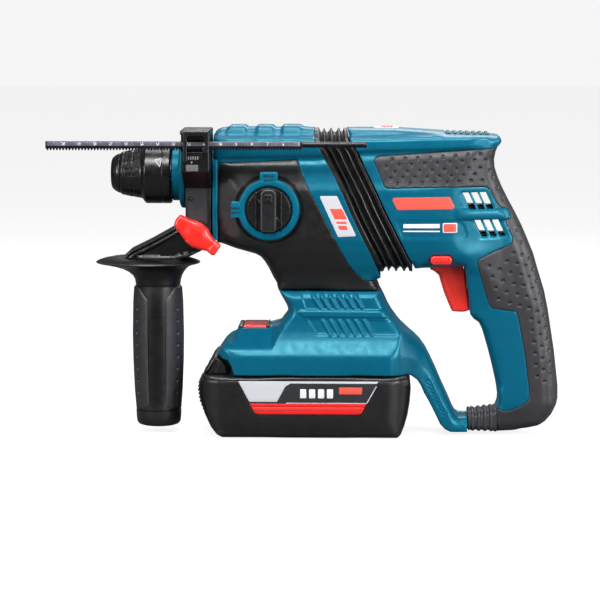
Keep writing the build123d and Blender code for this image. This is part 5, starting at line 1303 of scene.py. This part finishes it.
# spring clip over the gauge
clip = rounded(rows("""
    53.0 12.6, 55.7 12.6, 55.9 29.6, 57.2 31.1, 67.4 31.1, 68.8 29.6, 68.8 23.2, 67.0 21.8,
    67.4 19.4, 71.6 18.6, 71.9 33.2, 70.6 34.4, 54.2 34.4, 53.0 33.2"""),
               [0.6, 0.6, 0.8, 0.8, 0.8, 0.8, 0.6, 0.6, 0.8, 1.0, 0.6, 0.8, 0.8, 0.6])
add("gauge_release_clip", [prism(clip, "y", -54.5, -52.3, 0.5),
                           prism(rect(54.0, 32.2, 71.4, 34.3, 0.5), "y", -53.6, -50.8, 0.3)],
    DARK_FINE, "gauge_release", "gauge_release")

# ---------------------------------------------------------------- battery pack
PACK_SIL = rounded(rows("""
    66 -147, 63.4 -150.5, 62.2 -154, 61.6 -160, 62.6 -168.5, 66.2 -178, 70.8 -186.5,
    75.6 -192.4, 79 -194, 209.5 -194, 212.2 -191.5, 214.6 -186, 217 -178, 218.6 -168.5,
    219.4 -158, 218.8 -151.8, 216 -147"""), 2.0)
# half width by height (z, half width), and by length (x, half width)
PACK_Z, PACK_ZV = blurred(rows("""
    -146.4 36.5, -148.4 38.6, -150.5 39.6, -155 39.8, -182 39.8, -190 38.6, -194.1 36"""), 0.6)
PACK_X, PACK_XV = blurred(rows("""
    60 25, 64 30, 69 35.5, 77 39.2, 88 39.9, 202 39.9, 210 37.4, 216 32, 221 25"""), 1.6)
LABEL_BED = rounded(rows("""
    90.2 -149.3, 196.8 -149.3, 187.4 -167.2, 184.2 -174.4, 180.6 -176.0, 106.2 -176.0,
    101.6 -173.0, 98.6 -167.0"""), 1.4)
PACK_GROOVE = [(86.5, -147), (75.5, -158.5), (72.5, -171), (80, -188)]
SEAM_Z = -150.4
pack_round = corner_sizes("""
    62 -158 5 8, 65 -176 6 10, 72 -189 6 9, 85 -194 4 6, 150 -194 3.5 5, 205 -194 4 6,
    215 -186 5 9, 219 -160 5 8, 216 -147 1.5 1.5, 150 -147 1.0 1.0, 66 -147 1.5 1.5""")


def pack_width(x, z):
    points = np.stack([x, z], 1)
    w = soft_min(np.interp(z, PACK_Z, PACK_ZV), np.interp(x, PACK_X, PACK_XV), 1.2)
    w = w - 0.35 * smooth(-0.1, 0.5, signed(points, LABEL_BED))
    groove = line_distance(points, PACK_GROOVE, closed=False)
    return w - 0.25 * (1 - smooth(0.2, 0.8, groove))


pack_fine = [([(88, -148), (199, -148), (189, -177), (98, -177)], 1.7)]
for name, cad, region in (
        ("battery_case_tub", "battery_case_lower", rect(50, SEAM_Z - 0.05, 240, -200)),
        ("battery_case_lid", "battery_case_upper", rect(50, SEAM_Z + 0.05, 240, -140))):
    skin = build_skin(pack_width, PACK_SIL, [region], step=2.2, round_at=pack_round,
                      fine=pack_fine, seam=0.3, gap=0.05)
    thicken(add(name, [both(skin)], DARK, "battery_pack", cad, sharp=None), 2.0)
add("battery_case_rails", [prism(rect(88, -25, 204, 25, 1.0), "z", -147.4, -142.5, 0.3),
                           prism(rect(88, -30, 204, 30, 1.0), "z", -143.4, -137.0, 0.5)],
    DARK, "battery_pack")

label_field = rounded(rows("""
    92.0 -150.7, 195.0 -150.7, 186.0 -167.6, 183.0 -173.6, 179.8 -175.2, 106.8 -175.2,
    102.6 -172.4, 99.6 -167.0"""), 0.7)
# name, outline, material, height over the case
label = [
    ("field", label_field, INK, 0.10),
    ("top", rows("""91.8 -150.6, 195.2 -150.6, 194.3 -152.3, 130.4 -152.3, 126.6 -154.6,
                 120.4 -166.0, 100.0 -166.0"""), GREY, 0.24),
    ("line", rows("""193.4 -154.2, 186.4 -166.5, 127.2 -166.6, 127.2 -167.2, 186.9 -167.2,
                  194.2 -154.2"""), GREY, 0.24),
    ("red_a", rows("100.2 -167.3, 186.3 -167.3, 185.2 -169.6, 101.4 -169.6"), RED_PRINT, 0.24),
    ("red_b", rows("101.6 -169.9, 185.0 -169.9, 183.9 -172.3, 102.8 -172.3"), RED_LIGHT, 0.24),
    ("red_c", rounded(rows("""103.0 -172.6, 183.8 -172.6, 182.6 -174.4, 180.4 -175.1,
                           106.6 -175.1, 104.2 -174.2"""), 0.5), RED_PRINT, 0.24)]
for k in range(4):
    x = 137.5 + 6.6 * k
    label.append((f"bar_{k}", rect(x, -156.4, x + 4.6, -163.2, 0.6), WHITE, 0.24))
chip = rounded([(166.2, -155.0), (183.4, -155.0), (183.0, -160.2), (166.2, -160.2)], 0.6)
label.append(("chip", chip, CORAL, 0.24))
for side, tag in SIDES:
    for name, outline, material, lift in label:
        overlay(f"battery_label_{name}_{tag}", outline, pack_width, side, material,
                "battery_pack", lift, thick=0.25)

# finger ribs on the front of the pack
ribs = []
for k in range(9):
    z = -154.5 - 2.9 * k
    x = float(np.interp(-z, [154, 160, 168.5, 178, 186.5], [62.2, 61.6, 62.6, 66.2, 70.8]))
    y = 21.0 - 0.5 * k
    ribs.append(prism(rect(x - 0.9, z + 0.75, x + 3.0, z - 0.75, 0.5), "y", -y, y, 0.8))
add("battery_case_finger_ribs", ribs, DARK, "battery_pack")

# release button of the pack: ribbed press face
button = rounded(rows("""
    73.8 -133.9, 70.6 -137.6, 66.6 -145.6, 66.4 -147.0, 84.6 -147.0, 82.8 -141, 79.9 -137.4,
    76.7 -134.8"""), 0.7)
parts = [prism(button, "y", -30.2, 30.2, 1.6)]
for k in range(5):
    x, z = 71.4 - 0.95 * k, -138.0 - 1.55 * k
    rib = [(x - 0.75, z + 0.2), (x + 0.35, z + 0.6), (x + 0.75, z - 0.2), (x - 0.4, z - 0.65)]
    parts.append(prism(rounded(rib, 0.2), "y", -24, 24, 0.3))
cheek = rounded([(73.6, -146.3), (82.6, -146.3), (80.4, -138.6), (77.4, -136.4)], 0.8)
parts.append(prism(cheek, "y", -31.0, 31.0, 0.5))
add("battery_release_button", parts, DARK, "battery_release", "battery_release")

# ---------------------------------------------------------------- CAD nodes kept as they are
FINISHES = [
    (STEEL, """handle_pivot_pin tool_holder locking_balls sleeve_spring spindle_bearings
        spindle_gear countershaft_bearings countershaft countershaft_gear wobble_ring striker
        impact_bolt motor_rotor motor_bearings selector_cam"""),
    (STEEL_DARK, "front_housing_screws rear_housing_screws clamp_nut"),
    (BLACK, "switch_module motor_fan motor_end_cap"),
    (ALU, "gearbox_plate motor_flange piston battery_terminals"),
    (COPPER, "motor_stator"),
    (WIRE, "motor_leads"),
    (BOARD, "controller_board battery_board"),
    (CELL, "battery_cells")]
for material, names in FINISHES:
    for name in names.split():
        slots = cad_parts[name].data.materials
        slots.clear()
        slots.append(material)

# ---------------------------------------------------------------- stage (metres from here on)
FLOOR_HALF, FLOOR_Z = 6.0, -0.1945
LIGHT_TARGET = (0.14, 0.0, -0.08)
# name, location, width, height, watts
LIGHTS = [
    ("key", (0.05, -0.80, 1.0), 0.7, 0.25, 16.0),
    ("top", (0.2, 0.15, 1.2), 0.9, 0.4, 9.0),
    ("front_left", (-1.1, -1.05, 0.50), 0.25, 0.6, 17.0),
    ("front_right", (1.3, -0.95, 0.40), 0.25, 0.7, 17.0),
    ("low", (1.0, -1.25, 0.0), 0.3, 0.5, 4.0),
    ("rim_right", (1.3, 0.1, 0.15), 0.2, 0.9, 7.0),
    ("back", (0.3, 1.1, 0.7), 0.9, 0.5, 6.0)]
CAMERA_PLACE = (0.19179, -1.98406, 0.15081)
CAMERA_TARGET = (0.13637, 0.0, -0.09501)


def aim(ob, place, target):
    ob.location = place
    ob.rotation_mode = "QUATERNION"
    direction = Vector(target) - Vector(ob.location)
    ob.rotation_quaternion = direction.to_track_quat("-Z", "Y")


def floor_paper():
    """looks near white to the camera, and is a mid grey to all other rays"""
    m = Shader("floor_paper")
    m.set("Roughness", 0.9)
    to_camera = m.node("ShaderNodeLightPath").outputs["Is Camera Ray"]
    mottle = m.remap(m.noise(6.0), (0.3, 0.7), (0.0, 1.0))
    seen = m.mix(mottle, (0.17, 0.17, 0.17, 1), (0.19, 0.19, 0.19, 1))
    m.set("Base Color", m.mix(to_camera, (0.10, 0.10, 0.10, 1), seen))
    m.set("Emission Color", (1, 1, 1, 1))
    m.set("Emission Strength", m.remap(to_camera, (0.0, 1.0), (0.0, 0.86)))
    return m.material


def add_floor():
    mesh = bpy.data.meshes.new("floor")
    s = FLOOR_HALF
    corners = [(x, y, FLOOR_Z) for x, y in ((-s, -s), (s, -s), (s, s), (-s, s))]
    mesh.from_pydata(corners, [], [(0, 1, 2, 3)])
    ob = bpy.data.objects.new("floor", mesh)
    bpy.context.scene.collection.objects.link(ob)
    mesh.materials.append(floor_paper())


def add_world():
    """bright to the camera, dim as a light"""
    world = bpy.data.worlds.new("studio")
    world.use_nodes = True
    tree = world.node_tree
    background = tree.nodes["Background"]
    background.inputs[0].default_value = (1, 1, 1, 1)
    path = tree.nodes.new("ShaderNodeLightPath")
    level = tree.nodes.new("ShaderNodeMapRange")
    level.inputs["To Min"].default_value = 0.12
    level.inputs["To Max"].default_value = 0.92
    tree.links.new(path.outputs["Is Camera Ray"], level.inputs["Value"])
    tree.links.new(level.outputs["Result"], background.inputs[1])
    bpy.context.scene.world = world


add_floor()
add_world()
for name, place, width, height, power in LIGHTS:
    light = bpy.data.lights.new(name, "AREA")
    light.shape = "RECTANGLE"
    light.size, light.size_y = width, height
    light.energy = power
    light_ob = bpy.data.objects.new(name, light)
    bpy.context.scene.collection.objects.link(light_ob)
    aim(light_ob, place, LIGHT_TARGET)

camera = bpy.data.cameras.new("camera")
camera.sensor_width = 36.0
camera.lens = 160.2
camera.clip_start, camera.clip_end = 0.05, 30
camera_ob = bpy.data.objects.new("camera", camera)
bpy.context.scene.collection.objects.link(camera_ob)
aim(camera_ob, CAMERA_PLACE, CAMERA_TARGET)
bpy.context.scene.camera = camera_ob
bpy.context.scene.view_settings.view_transform = "Standard"
